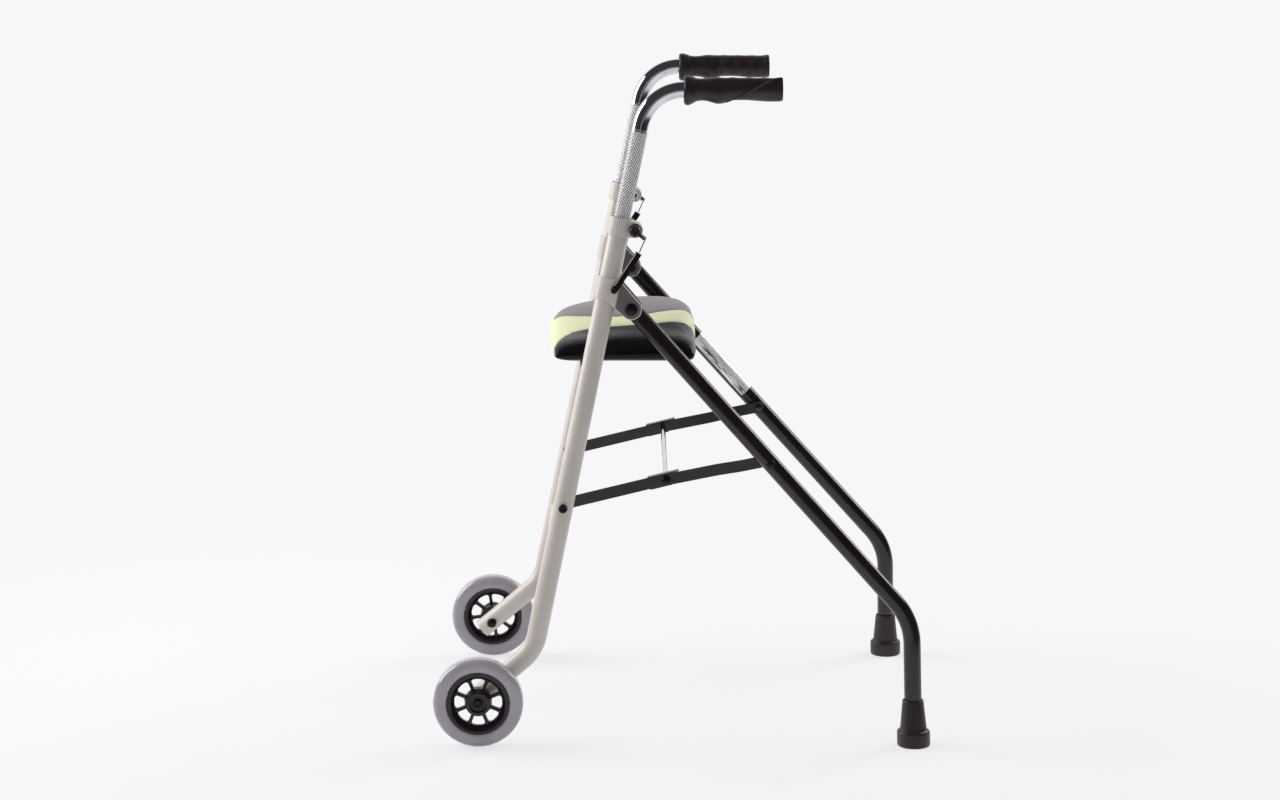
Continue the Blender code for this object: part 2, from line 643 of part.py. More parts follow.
def make_wheel(label, side, finishes, pivot):
    """A wheel: grey tyre, black rim with eight windows, and the bush that turns on the axle."""
    centre = Vector((side * WHEEL_HALF_TRACK, *AXLE))
    axis = (side, 0, 0)
    flat_to_vertex = 1 / math.cos(math.pi / WHEEL_SIDES)
    seat = TYRE_SEAT_HALF_WIDTH
    half = TYRE_HALF_WIDTH
    tread = WHEEL_R * flat_to_vertex
    profile = [(TYRE_SEAT_R, -seat), (TYRE_SEAT_R, seat), (TYRE_SEAT_R + 0.0015, half - 0.0006),
               (0.0500, half), (0.0560, half - 0.0006), (0.0600, half - 0.0026), (tread, half - 0.0062)]
    profile += [(radius, -x) for radius, x in profile[:1:-1]]
    tyre = turned(bmesh.new(), profile, centre, axis, WHEEL_SIDES, bored=True)
    finish_mesh(f"tyre_{label}", tyre, finishes["tyre_grey"], pivot, 50.0)

    bore = AXLE_R + PIN_PLAY + BUSH_WALL + FIT_GAP
    seat_r = TYRE_SEAT_R - FIT_GAP * flat_to_vertex
    profile = [(bore, -HUB_HALF_WIDTH), (bore, HUB_HALF_WIDTH - HUB_RECESS_DEPTH),
               (HUB_RECESS_R, HUB_HALF_WIDTH - HUB_RECESS_DEPTH), (HUB_RECESS_R, HUB_HALF_WIDTH),
               (HUB_R - 0.0006, HUB_HALF_WIDTH), (HUB_R + 0.0006, RIM_WEB_HALF),
               (RIM_WINDOW_R + 0.0005, RIM_WEB_HALF), (0.0372, seat - 0.002), (0.0405, seat), (seat_r, seat),
               (seat_r, -seat), (0.0405, -seat), (0.0372, -seat + 0.002),
               (RIM_WINDOW_R + 0.0005, -RIM_WEB_HALF), (HUB_R + 0.0006, -RIM_WEB_HALF),
               (HUB_R, -HUB_HALF_WIDTH)]
    rim = turned(bmesh.new(), profile, centre, axis, WHEEL_SIDES, bored=True)
    rim = finish_mesh(f"rim_{label}", rim, finishes["black_plastic"], pivot, 40.0)
    combine(rim, finish_mesh(f"windows_{label}", window_cutters(centre), None, pivot))

    inner = AXLE_R + PIN_PLAY
    outer = inner + BUSH_WALL
    start = -HUB_HALF_WIDTH
    stop = HUB_HALF_WIDTH - HUB_RECESS_DEPTH
    profile = [(outer, start), (outer, stop), (inner, stop), (inner, start)]
    bush = turned(bmesh.new(), profile, centre, axis, 12, bored=True)
    finish_mesh(f"hub_bush_{label}", bush, finishes["nylon"], pivot)


def window_cutters(centre):
    """The wedges that leave the rim's spokes between hub and rim."""
    bm = bmesh.new()
    half_spoke = SPOKE_WIDTH / 2
    inner = HUB_R + 0.0016
    half_step = math.pi / RIM_SPOKES
    reach = RIM_WEB_HALF + 0.002
    for index in range(RIM_SPOKES):
        middle = (index + 0.5) * 2 * half_step
        outline = []
        for radius, shares in ((inner, (-1, 1)), (RIM_WINDOW_R, (0.8, 0.3, -0.3, -0.8))):
            half_angle = half_step - math.asin(half_spoke / radius)
            for share in shares:
                angle = middle + share * half_angle
                outline.append((centre.y + radius * math.cos(angle), centre.z + radius * math.sin(angle)))
        corner = RIM_WINDOW_R - 0.0035
        half_angle = half_step - math.asin(half_spoke / corner)
        for place, share in ((2, 1), (7, -1)):
            angle = middle + share * half_angle
            point = (centre.y + corner * math.cos(angle), centre.z + corner * math.sin(angle))
            outline.insert(place, point)
        plate(bm, outline, centre.x - reach, centre.x + reach)
    return bm


def make_handle(label, side, finishes, pivot):
    """A height-adjustable handle: chromed tube with its moulded grip."""
    x = side * FRAME_HALF_WIDTH
    corner = tube_at(GRIP_HEIGHT)
    tube_end = (GRIP_REAR[0] - GRIP_END_WALL - FIT_GAP, GRIP_HEIGHT)
    foot = tube_at(TUBE_TOP_HEIGHT - HANDLE_INSERTION)
    points = [Vector((x, *point)) for point in (foot, corner, tube_end)]
    bm = tube_mesh(points, HANDLE_BEND_R, 7, HANDLE_R, HANDLE_WALL)
    finish_mesh(f"handle_tube_{label}", bm, finishes["chrome"], pivot)
    finish_mesh(f"grip_{label}", grip_mesh(side), finishes["soft_grip"], pivot, 60.0)


# The grip's own radius along its length: (distance from its front edge, radius)
GRIP_OUTLINE = ((0.0, 0.0168), (0.0025, 0.0189), (0.0065, 0.0191), (0.0115, 0.0176), (0.0175, 0.0154),
                (0.0240, 0.0149), (0.0310, 0.0154), (0.0390, 0.0166), (0.0460, 0.0170),
                (GRIP_LENGTH - 0.004, 0.0163), (GRIP_LENGTH - 0.001, 0.0158), (GRIP_LENGTH, 0.0146))
GRIP_FIRST_GROOVE = 0.056
GRIP_GROOVE_PITCH = 0.021
GRIP_GROOVE_COUNT = 4
GRIP_GROOVE_HALF = 0.0095
GRIP_GROOVE_DEPTH = 0.0024
PALM_START = 0.056
PALM_RELIEF = 0.0012


def grip_grooves():
    """Where the finger grooves lie along the grip."""
    return [GRIP_FIRST_GROOVE + index * GRIP_GROOVE_PITCH for index in range(GRIP_GROOVE_COUNT)]


def grip_radius(distance):
    """The grip's plain radius at a distance from its front edge."""
    for (low, low_r), (high, high_r) in zip(GRIP_OUTLINE, GRIP_OUTLINE[1:]):
        if distance <= high:
            share = (distance - low) / (high - low)
            return low_r + (high_r - low_r) * share
    return GRIP_OUTLINE[-1][1]


def grip_shaping(distance, angle):
    """How far the hand's shaping cuts into the grip; 0 degrees is outward and 90 is up."""
    cut = 0.0
    inner_share = max(0.0, -math.cos(angle - math.radians(-20)))
    for groove in grip_grooves():
        apart = abs(distance - groove)
        if apart < GRIP_GROOVE_HALF:
            cut += GRIP_GROOVE_DEPTH * inner_share * math.cos(apart / GRIP_GROOVE_HALF * math.pi / 2)
    along = (distance - PALM_START) / (GRIP_LENGTH - PALM_START)
    if 0.0 < along < 1.0:
        ridge = math.radians(-75 + 130 * along)
        below = ridge - angle
        if below > 0.0:
            cut += PALM_RELIEF * max(0.0, min(1.0, below / 0.3, (1.9 - below) / 0.7))
    return cut


def grip_mesh(side):
    """The moulded grip: bulge and waist, a palm ridge outside, four finger grooves inside."""
    sides = 18
    stations = [station for station, _ in GRIP_OUTLINE]
    for groove in grip_grooves():
        stations += [groove + share * GRIP_GROOVE_HALF for share in (-0.6, 0.0, 0.6)]
    stations.sort()
    rings = []
    bore = HANDLE_R + FIT_GAP
    x = side * FRAME_HALF_WIDTH

    def ring(y, radius_at):
        points = []
        for index in range(sides):
            angle = (index + 0.5) * math.tau / sides
            signed = (angle + math.pi) % math.tau - math.pi
            radius = radius_at(signed)
            points.append(Vector((x + side * radius * math.cos(angle), y,
                                  GRIP_HEIGHT + radius * math.sin(angle))))
        return points

    rings.append(ring(GRIP_REAR[0] - GRIP_END_WALL, lambda angle: bore))
    rings.append(ring(GRIP_FRONT[0], lambda angle: bore))
    for station in stations:
        plain = grip_radius(station)
        rings.append(ring(GRIP_FRONT[0] + station, lambda angle: plain - grip_shaping(station, angle)))
    return add_rings(bmesh.new(), rings)


def make_leg(label, side, finish, pivot):
    """A rear leg: straight from the pivot, bent above the foot, and splayed outwards on the way down."""
    top = shift(PIVOT, LEG_DOWN, -LEG_TOP_PAST_PIVOT)
    slope = (LEG_BEND_HALF_WIDTH - FRAME_HALF_WIDTH) / (PIVOT[1] - LEG_BEND_HEIGHT)
    top_x = FRAME_HALF_WIDTH - slope * (top[1] - PIVOT[1])
    foot = (FOOT_Y - math.tan(FOOT_RAKE) * (FERRULE_FLOOR + 0.002), FERRULE_FLOOR + 0.002)
    points = [Vector((side * top_x, *top)), Vector((side * LEG_BEND_HALF_WIDTH, *LEG_BEND)),
              Vector((side * leg_half_width(foot[1]), *foot))]
    leg = finish_mesh(f"rear_leg_{label}", tube_mesh(points, LEG_BEND_R, 5, LEG_R, LEG_WALL), finish, pivot)
    mid = side * FRAME_HALF_WIDTH
    drill(leg, mid - 0.03, mid + 0.03, PIVOT, PIVOT_BOLT_R + PIN_PLAY, pivot)
    drill(leg, *across(side, LEG_INNER_AT_D - 0.01, LEG_INNER_AT_D + 2 * LEG_R + 0.01), STAY_D,
          STAY_BOLT_R + PIN_PLAY, pivot)
    at_peg = leg_half_width(PEG[1])
    drill(leg, *across(side, at_peg - LEG_R - 0.01, at_peg), PEG, PEG_STUD_R + PIN_PLAY, pivot)
    return leg


def make_leg_plug(label, side, finish, pivot):
    """The domed plug in a leg's top end."""
    slope = (LEG_BEND_HALF_WIDTH - FRAME_HALF_WIDTH) / (PIVOT[1] - LEG_BEND_HEIGHT)
    bore = LEG_R - LEG_WALL - FIT_GAP
    outward = Vector((side * slope * LEG_DOWN[1], -LEG_DOWN[0], -LEG_DOWN[1])).normalized()
    mouth = Vector((side * FRAME_HALF_WIDTH, *PIVOT)) + outward * LEG_TOP_PAST_PIVOT
    profile = [(bore, -0.005), (bore, FIT_GAP), (LEG_R - 0.0005, FIT_GAP), (LEG_R - 0.0015, 0.0012)]
    bm = turned(bmesh.new(), profile, mouth, outward, 12)
    return finish_mesh(f"leg_top_plug_{label}", bm, finish, pivot)


def make_ferrule(label, side, finish, pivot):
    """A rubber ferrule: its foot is flat on the floor, and its rings follow the leaning leg."""
    sides = TUBE_SIDES
    wall_gap = FIT_GAP + 0.0002
    profile = [(LEG_R + wall_gap, FERRULE_FLOOR), (LEG_R + wall_gap, FERRULE_HEIGHT),
               (FERRULE_TOP_R - 0.0008, FERRULE_HEIGHT), (FERRULE_TOP_R, FERRULE_HEIGHT - 0.0015),
               (FERRULE_CONE_R, FERRULE_BASE_HEIGHT + 0.004), (FERRULE_CONE_R + 0.001, FERRULE_BASE_HEIGHT),
               (FERRULE_BASE_R - 0.001, FERRULE_BASE_HEIGHT - 0.0012),
               (FERRULE_BASE_R, FERRULE_BASE_HEIGHT - 0.0035), (FERRULE_BASE_R, 0.002),
               (FERRULE_BASE_R - 0.0012, 0.0)]
    rings = []
    for radius, height in profile:
        x = side * leg_half_width(height)
        centre = Vector((x, FOOT_Y - math.tan(FOOT_RAKE) * height, height))
        rings.append(circle(centre, Vector((1, 0, 0)), Vector((0, 1, 0)), radius, sides))
    return finish_mesh(f"ferrule_{label}", add_rings(bmesh.new(), rings), finish, pivot, 45.0)


def stay_outline(start, angle):
    """A flat bar from a start hole along an angle, with round ends."""
    stop = shift(start, (math.cos(angle), math.sin(angle)), STAY_LENGTH)
    turn = math.degrees(angle)
    radius = STAY_HALF_HEIGHT
    return arc(stop, radius, turn - 90, turn + 90, 6) + arc(start, radius, turn + 90, turn + 270, 6)


def make_front_stay(label, side, finish, pivot):
    """The flat bar from the front tube to the knee joint."""
    x_low, x_high = across(side, FRONT_STAY_X, FRONT_STAY_X + STAY_THICK)
    bm = plate(bmesh.new(), stay_outline(STAY_B, FRONT_STAY_ANGLE), x_low, x_high)
    stay = finish_mesh(f"front_stay_{label}", bm, finish, pivot)
    drill(stay, x_low - 0.002, x_high + 0.002, STAY_B, STAY_BOLT_R + PIN_PLAY, pivot)
    drill(stay, x_low - 0.002, x_high + 0.002, STAY_C, ROD_SPIGOT_R + PIN_PLAY, pivot)
    return stay


def make_rear_stay(label, side, finish, pivot):
    """The flat bar from the knee joint to the leg, joggled outwards to reach it."""
    step = REAR_STAY_END_X - REAR_STAY_X
    along = Vector((0, math.cos(REAR_STAY_ANGLE), math.sin(REAR_STAY_ANGLE)))
    over = Vector((0, -math.sin(REAR_STAY_ANGLE), math.cos(REAR_STAY_ANGLE)))
    start = Vector((0, *STAY_C))
    radius = STAY_HALF_HEIGHT
    sections = [(-radius * math.cos(turn), radius * math.sin(turn), 0.0)
                for turn in (math.radians(5), math.radians(30), math.radians(60))]
    sections += [(0.0, radius, 0.0), (JOGGLE_START, radius, 0.0), (JOGGLE_END, radius, step)]
    sections += [(STAY_LENGTH + radius * math.sin(turn), radius * math.cos(turn), step)
                 for turn in (0.0, math.radians(30), math.radians(60), math.radians(85))]
    rings = []
    for distance, half, shift_x in sections:
        low = side * (REAR_STAY_X + shift_x)
        high = side * (REAR_STAY_X + shift_x + STAY_THICK)
        centre = start + along * distance
        rings.append([centre + Vector((x, 0, 0)) + over * (half * sign)
                      for x, sign in ((low, -1), (high, -1), (high, 1), (low, 1))])
    stay = finish_mesh(f"rear_stay_{label}", add_rings(bmesh.new(), rings), finish, pivot, 30.0)
    reach = across(side, REAR_STAY_X - 0.002, REAR_STAY_X + STAY_THICK + 0.002)
    drill(stay, *reach, STAY_C, ROD_SPIGOT_R + PIN_PLAY, pivot)
    face = REAR_STAY_END_X + 0.0005
    profile = [(radius, face - height) for radius, height in reversed(domed(0.0058, 0.0042))]
    profile.append((0.0052, face + 0.001))
    bm = turned(bmesh.new(), profile, Vector((0, *STAY_D)), (side, 0, 0), 12)
    combine(stay, finish_mesh(f"rivet_{label}", bm, None, pivot), "UNION")
    return stay


def make_stay_cover(label, side, finish, pivot):
    """The channel over the knee joint: two cheeks under a web, whose tongue stops the rear bar."""
    along = (math.cos(FRONT_STAY_ANGLE), math.sin(FRONT_STAY_ANGLE))
    over = (-along[1], along[0])
    inside = STAY_HALF_HEIGHT + FIT_GAP

    def place(distance, height):
        return shift(shift(STAY_C, along, distance), over, height)

    outline = [place(-COVER_FRONT, -inside), place(COVER_CHEEK_REAR - 0.002, -inside),
               place(COVER_CHEEK_REAR, -inside + 0.003), place(COVER_CHEEK_REAR, inside),
               place(COVER_TONGUE, inside), place(COVER_TONGUE, inside + COVER_SHEET),
               place(-COVER_FRONT, inside + COVER_SHEET)]
    bm = plate(bmesh.new(), outline, *across(side, COVER_INNER_X, COVER_OUTER_X + COVER_SHEET))
    cover = finish_mesh(f"stay_cover_{label}", bm, finish, pivot)
    front = -COVER_FRONT - 0.003
    rear = COVER_CHEEK_REAR + 0.003
    low = -inside - 0.003
    pocket = [place(front, low), place(rear, low), place(rear, inside), place(front, inside)]
    bm = plate(bmesh.new(), pocket, *across(side, COVER_INNER_X + COVER_SHEET, COVER_OUTER_X))
    combine(cover, finish_mesh(f"cover_pocket_{label}", bm, None, pivot))
    drill(cover, *across(side, COVER_INNER_X - 0.002, COVER_OUTER_X + COVER_SHEET + 0.002), STAY_C,
          ROD_SPIGOT_R + PIN_PLAY, pivot)
    return cover


def make_cross_rod(finish, pivot):
    """The bright rod that joins both knee joints, with turned-down spigots as their pins."""
    shoulder = COVER_INNER_X - FIT_GAP
    tip = COVER_OUTER_X + COVER_SHEET + KNEE_NUT_DEPTH
    half = [(ROD_SPIGOT_R - 0.0004, tip), (ROD_SPIGOT_R, tip - 0.0005), (ROD_SPIGOT_R, shoulder),
            (ROD_R, shoulder)]
    profile = [(radius, -x) for radius, x in half] + half[::-1]
    bm = turned(bmesh.new(), profile, Vector((0, *STAY_C)), (1, 0, 0), 12)
    return finish_mesh("cross_rod", bm, finish, pivot)


def make_knee_nut(label, side, finish, pivot):
    """The blind domed nut on the end of the cross rod, outside the cover."""
    base = COVER_OUTER_X + COVER_SHEET + FIT_GAP
    bore = ROD_SPIGOT_R + PIN_PLAY
    profile = [(bore, base + KNEE_NUT_DEPTH), (bore, base)]
    profile += [(radius, base + height) for radius, height in domed(0.0064, 0.0052)]
    bm = turned(bmesh.new(), profile, Vector((0, *STAY_C)), (side, 0, 0), 12)
    return finish_mesh(f"knee_nut_{label}", bm, finish, pivot)


def make_lever(label, side, finish, pivot):
    """The lock lever: a channelled bar with a square top, and the rivet it turns on."""
    half = LEVER_WIDTH / 2
    turn = 90 - math.degrees(LEVER_ANGLE)
    tail = arc(shift(LEVER_PIN, LEVER_UP, half - LEVER_TAIL), half, turn + 90, turn + 270, 8)
    top = [shift(LEVER_TOP, LEVER_BACK, half), shift(LEVER_TOP, LEVER_BACK, -half)]
    reach = across(side, LEVER_X, LEVER_X + LEVER_THICK)
    lever = finish_mesh(f"lock_lever_{label}", plate(bmesh.new(), tail + top, *reach), finish, pivot, 30.0)
    groove = []
    for distance, offset in ((0.009, -0.0024), (0.009, -0.0010), (LEVER_LENGTH, -0.0010),
                             (LEVER_LENGTH, -0.0024)):
        groove.append(shift(shift(LEVER_PIN, LEVER_UP, distance), LEVER_BACK, offset))
    reach = across(side, LEVER_X + LEVER_THICK - 0.0016, LEVER_X + LEVER_THICK + 0.002)
    combine(lever, finish_mesh(f"lever_groove_{label}", plate(bmesh.new(), groove, *reach), None, pivot))
    tip = BRACKET_OUTER_X - BRACKET_SHEET - 0.0010
    face = LEVER_X + LEVER_THICK
    profile = [(LEVER_PIN_R, tip), (LEVER_PIN_R, LEVER_X + 0.001), (LEVER_PIN_R * 1.7, LEVER_X + 0.0015),
               (LEVER_PIN_R * 1.7, face + 0.001), (LEVER_PIN_R * 1.4, face + 0.0015)]
    bm = turned(bmesh.new(), profile, Vector((0, *LEVER_PIN)), (side, 0, 0), 10)
    combine(lever, finish_mesh(f"lever_pin_{label}", bm, None, pivot), "UNION")
    return lever


def link_route(side):
    """Points of the spring link: eye round the clamp bolt, coil, kink, then straight to the lever."""
    eye_r = CLAMP_BOLT_R + PIN_PLAY + LINK_WIRE_R
    toward = (math.cos(math.radians(-39.4)), math.sin(math.radians(-39.4)))
    over = (-toward[1], toward[0])
    points = []
    for step in range(9):
        angle = math.radians(75 + 32 * step)
        points.append((LINK_EYE_X, *shift(shift(CLAMP, toward, eye_r * math.cos(angle)), over,
                                          eye_r * math.sin(angle))))
    coil_x = LINK_EYE_X - LINK_WIRE_R + LINK_COIL_R + LINK_WIRE_R
    for step in range(LINK_COIL_TURNS * LINK_POINTS_PER_TURN + 1):
        turns = step / LINK_POINTS_PER_TURN
        angle = turns * math.tau + math.pi
        spot = shift(shift(CLAMP, toward, LINK_COIL_START + turns * LINK_COIL_PITCH), over,
                     LINK_COIL_R * math.sin(angle))
        points.append((coil_x + LINK_COIL_R * math.cos(angle), *spot))
    coil_end = LINK_COIL_START + LINK_COIL_TURNS * LINK_COIL_PITCH
    kink = shift(shift(CLAMP, toward, coil_end + 0.0012), over, -0.0046)
    lever_x = LEVER_X + LEVER_THICK / 2
    points.append((coil_x, *shift(kink, over, 0.0016)))
    points.append((coil_x, *kink))
    seat = shift(LEVER_TOP, LEVER_UP, FIT_GAP + LINK_WIRE_R * 0.9)
    for share in (0.12, 0.5, 0.85, 1.0):
        y = kink[0] + (seat[0] - kink[0]) * share
        z = kink[1] + (seat[1] - kink[1]) * share
        points.append((coil_x + (lever_x - coil_x) * share, y, z))
    return [Vector((side * x, y, z)) for x, y, z in points]


def least_gap(points, wire_r, apart):
    """The least gap of a wire to itself, on points further apart along it than a few diameters."""
    fine = []
    for start, stop in zip(points, points[1:]):
        fine += [start.lerp(stop, share / 4) for share in range(4)]
    travelled = [0.0]
    for start, stop in zip(fine, fine[1:]):
        travelled.append(travelled[-1] + (stop - start).length)
    least = 1.0
    for index, point in enumerate(fine):
        for other in range(index + 1, len(fine)):
            if travelled[other] - travelled[index] > apart:
                least = min(least, (fine[other] - point).length)
    return least - 2 * wire_r


def make_spring_link(label, side, finish):
    """The coil spring with its straight wire, as one unbroken bent wire."""
    points = link_route(side)
    gap = least_gap(points, LINK_WIRE_R, 0.006)
    print(f"spring_link_{label}: least gap to itself {gap * 1000:.2f} mm")
    curve = bpy.data.curves.new(f"spring_link_{label}", "CURVE")
    curve.dimensions = "3D"
    curve.bevel_depth = LINK_WIRE_R
    curve.bevel_resolution = 1
    curve.use_fill_caps = True
    spline = curve.splines.new("POLY")
    spline.points.add(len(points) - 1)
    for target, point in zip(spline.points, points):
        target.co = (*point, 1.0)
    curve.materials.append(finish)
    made = bpy.data.objects.new(f"spring_link_{label}", curve)
    bpy.context.scene.collection.objects.link(made)
    return made


def make_seat_board(finish, pivot):
    """The board under the cushion, with round corners."""
    front = SEAT_AXIS[0] - CUSHION_FRONT + 0.014
    rear = SEAT_AXIS[0] + CUSHION_REAR - 0.008
    corner = 0.018
    reach = BOARD_HALF_WIDTH - corner
    centres = ((reach, rear - corner), (-reach, rear - corner),
               (-reach, front + corner), (reach, front + corner))
    outline = []
    for quarter, centre in enumerate(centres):
        outline += arc(centre, corner, quarter * 90, quarter * 90 + 90, 4)
    rings = [[Vector((x, y, height)) for x, y in outline] for height in (BOARD_BOTTOM, BOARD_TOP)]
    return finish_mesh("seat_board", add_rings(bmesh.new(), rings), finish, pivot)


def make_saddle(label, side, finish, pivot):
    """The saddle that hangs the seat on its cross tube: a half round with a flange each way."""
    inner = SEAT_TUBE_R + FIT_GAP
    outer = inner + SADDLE_WALL
    top = BOARD_BOTTOM - FIT_GAP
    low = top - SADDLE_FLANGE_THICK
    y, z = SEAT_AXIS
    outline = [(y - outer - SADDLE_FLANGE, top), (y - outer - SADDLE_FLANGE, low), (y - outer, low)]
    outline += arc(SEAT_AXIS, outer, 180, 360, 8)
    outline += [(y + outer, low), (y + outer + SADDLE_FLANGE, low), (y + outer + SADDLE_FLANGE, top),
                (y + inner, top)]
    outline += arc(SEAT_AXIS, inner, 0, -180, 8)
    outline += [(y - inner, top)]
    middle = side * SADDLE_HALF_SPACING
    bm = plate(bmesh.new(), outline, middle - SADDLE_WIDTH / 2, middle + SADDLE_WIDTH / 2)
    return finish_mesh(f"seat_saddle_{label}", bm, finish, pivot)


# The cushion's side section: (distance behind the seat tube, height share), over the top from front to rear
CUSHION_TOP = ((-1.0, 0.30), (-0.985, 0.46), (-0.93, 0.66), (-0.82, 0.83), (-0.62, 0.925), (-0.30, 0.97),
               (0.05, 0.995), (0.35, 1.0), (0.62, 0.985), (0.80, 0.92), (0.92, 0.79), (0.975, 0.60),
               (1.0, 0.36))
CUSHION_UNDER = ((0.985, 0.12), (0.93, 0.0), (0.45, 0.0), (0.0, 0.0), (-0.45, 0.0), (-0.90, 0.0),
                 (-0.975, 0.13))


def make_cushion(finish, pivot):
    """The upholstered seat: crowned across and along, sides drawn in, a sewn channel at each panel edge."""
    y_middle = SEAT_AXIS[0] + (CUSHION_REAR - CUSHION_FRONT) / 2
    y_half = (CUSHION_REAR + CUSHION_FRONT) / 2
    width = CUSHION_HALF_WIDTH
    inner = CUSHION_SEAM_INNER
    outer = CUSHION_SEAM_OUTER
    seam = 0.0035
    half = [(0.0, 0.0), (inner * 0.55, 0.0), (inner - seam, 0.0), (inner, 1.0), (inner + seam, 0.0),
            (outer - seam, 0.0), (outer, 1.0), (outer + seam, 0.0), (width - 0.024, 0.0),
            (width - 0.010, 0.0), (width - 0.003, 0.0), (width, 0.0)]
    draw_in = {width: 0.84, width - 0.003: 0.93, width - 0.010: 0.975}
    stations = [(-x, groove) for x, groove in half[:0:-1]] + half
    rings = []
    for x, groove in stations:
        share = abs(x) / width
        height = CUSHION_CROWN - (CUSHION_CROWN - CUSHION_SIDE_HEIGHT) * share ** 2
        height *= draw_in.get(abs(x), 1.0)
        length = y_half * (1.0 - 0.035 * share ** 4) * (0.5 + 0.5 * draw_in.get(abs(x), 1.0))
        lift = (1.0 - draw_in.get(abs(x), 1.0)) * CUSHION_SIDE_HEIGHT * 0.3
        ring = []
        for along, up in CUSHION_TOP + CUSHION_UNDER:
            sewn = groove * CUSHION_SEAM_DEPTH * (1.0 if up > 0.2 else 0.0)
            ring.append(Vector((x, y_middle + along * (length - sewn),
                                CUSHION_BOTTOM + lift + up * (height - sewn))))
        rings.append(ring)
    return finish_mesh("seat_cushion", add_rings(bmesh.new(), rings), finish, pivot, 60.0)


def make_peg(label, side, finish, pivot):
    """The peg on a leg that carries the rear of the seat, with a stud into the leg."""
    shoulder = leg_half_width(PEG[1]) - LEG_R - FIT_GAP
    tip = BOARD_HALF_WIDTH - PEG_OVERLAP
    profile = [(PEG_R - 0.001, tip), (PEG_R, tip + 0.001), (PEG_R, shoulder), (PEG_STUD_R, shoulder),
               (PEG_STUD_R, shoulder + 0.006)]
    bm = turned(bmesh.new(), profile, Vector((0, *PEG)), (side, 0, 0), 12, turn=0.0)
    return finish_mesh(f"seat_rest_peg_{label}", bm, finish, pivot)


def build_front_frame(finishes):
    """Everything that stays with the two front tubes."""
    grey = finishes["grey_paint"]
    steel = finishes["black_steel"]
    for label, side in SIDES.items():
        make_front_tube(label, side, grey)
        make_bracket(label, side, grey)
        make_guide_bush(label, side, finishes["black_plastic"])
        make_clamp_collar(label, side, grey)
        make_spring_link(label, side, finishes["zinc"])
        make_ring(f"clamp_washer_{label}", finishes["zinc"], side, WASHER_X, CLAMP, WASHER_R,
                  CLAMP_BOLT_R + PIN_PLAY, WASHER_THICK)
        make_axle(label, side, finishes)
        make_bolt(f"stay_front_bolt_{label}", steel, side, STAY_B, FRONT_STAY_X - FIT_GAP,
                  TUBE_OUTER_X + FIT_GAP, STAY_BOLT_R, domed(0.0058, 0.0050), button(0.0062, 0.0045))
        make_bolt(f"leg_pivot_bolt_{label}", steel, side, PIVOT, BRACKET_INNER_X - FIT_GAP,
                  BRACKET_OUTER_X + FIT_GAP, PIVOT_BOLT_R, domed(0.0072, 0.0065), domed(0.0086, 0.0056), 14)
    make_cross_tube("seat_cross_tube", SEAT_TUBE_HEIGHT, SEAT_TUBE_R, grey)
    make_cross_tube("lower_cross_tube", LOWER_TUBE_HEIGHT, LOWER_TUBE_R, grey)


def make_axle(label, side, finishes):
    """The axle bolt with its domed nut, and the spacer between fork and hub."""
    start = TUBE_OUTER_X + FIT_GAP
    bore = AXLE_R + PIN_PLAY
    make_ring(f"axle_spacer_{label}", finishes["zinc"], side, start, AXLE, bore + SPACER_WALL, bore,
              SPACER_LENGTH, 12)
    head = WHEEL_HALF_TRACK + HUB_HALF_WIDTH - HUB_RECESS_DEPTH + FIT_GAP
    make_bolt(f"axle_bolt_{label}", finishes["black_steel"], side, AXLE, TUBE_INNER_X - FIT_GAP, head,
              AXLE_R, domed(0.0073, 0.0072), button(0.0068, 0.0052))


def build_wheels(finishes):
    """Both wheels, each on its own axle empty."""
    for label, side in SIDES.items():
        pivot = joint_empty(f"wheel_axis_{label}", side * WHEEL_HALF_TRACK, AXLE)
        make_wheel(label, side, finishes, pivot)


def build_handles(finishes):
    """Both handles with their clamp knobs."""
    for label, side in SIDES.items():
        slide = joint_empty(f"handle_slide_{label}", side * FRAME_HALF_WIDTH, COLLAR_MIDDLE)
        make_handle(label, side, finishes, slide)
        turn = joint_empty(f"clamp_axis_{label}", side * KNOB_X, CLAMP)
        make_clamp_knob(label, side, finishes["black_plastic"], turn)


def build_rear_frame(finishes):
    """Both rear legs, which fold together about the leg pivots."""
    fold = joint_empty("fold_axis", 0.0, PIVOT)
    for label, side in SIDES.items():
        make_leg(label, side, finishes["black_paint"], fold)
        make_ferrule(label, side, finishes["black_rubber"], fold)
        make_leg_plug(label, side, finishes["black_plastic"], fold)
        make_peg(label, side, finishes["black_rubber"], fold)
        spacer = [(STAY_BOLT_R * 2.3, 0.0), (STAY_BOLT_R * 2.3, STAY_SPACER)]
        make_bolt(f"stay_rear_bolt_{label}", finishes["black_steel"], side, STAY_D,
                  LEG_INNER_AT_D - FIT_GAP, LEG_INNER_AT_D + 2 * LEG_R + 2 * FIT_GAP, STAY_BOLT_R, spacer,
                  domed(0.0062, 0.0042), 12, fold)


def build_stays(finishes):
    """The folding stays: front bars with the knee covers and rod, then the rear bars."""
    black = finishes["black_paint"]
    front = joint_empty("front_stay_axis", 0.0, STAY_B)
    rear = joint_empty("rear_stay_axis", 0.0, STAY_C)
    make_cross_rod(finishes["chrome"], front)
    for label, side in SIDES.items():
        make_front_stay(label, side, black, front)
        make_stay_cover(label, side, black, front)
        make_knee_nut(label, side, finishes["black_steel"], front)
        make_rear_stay(label, side, black, rear)


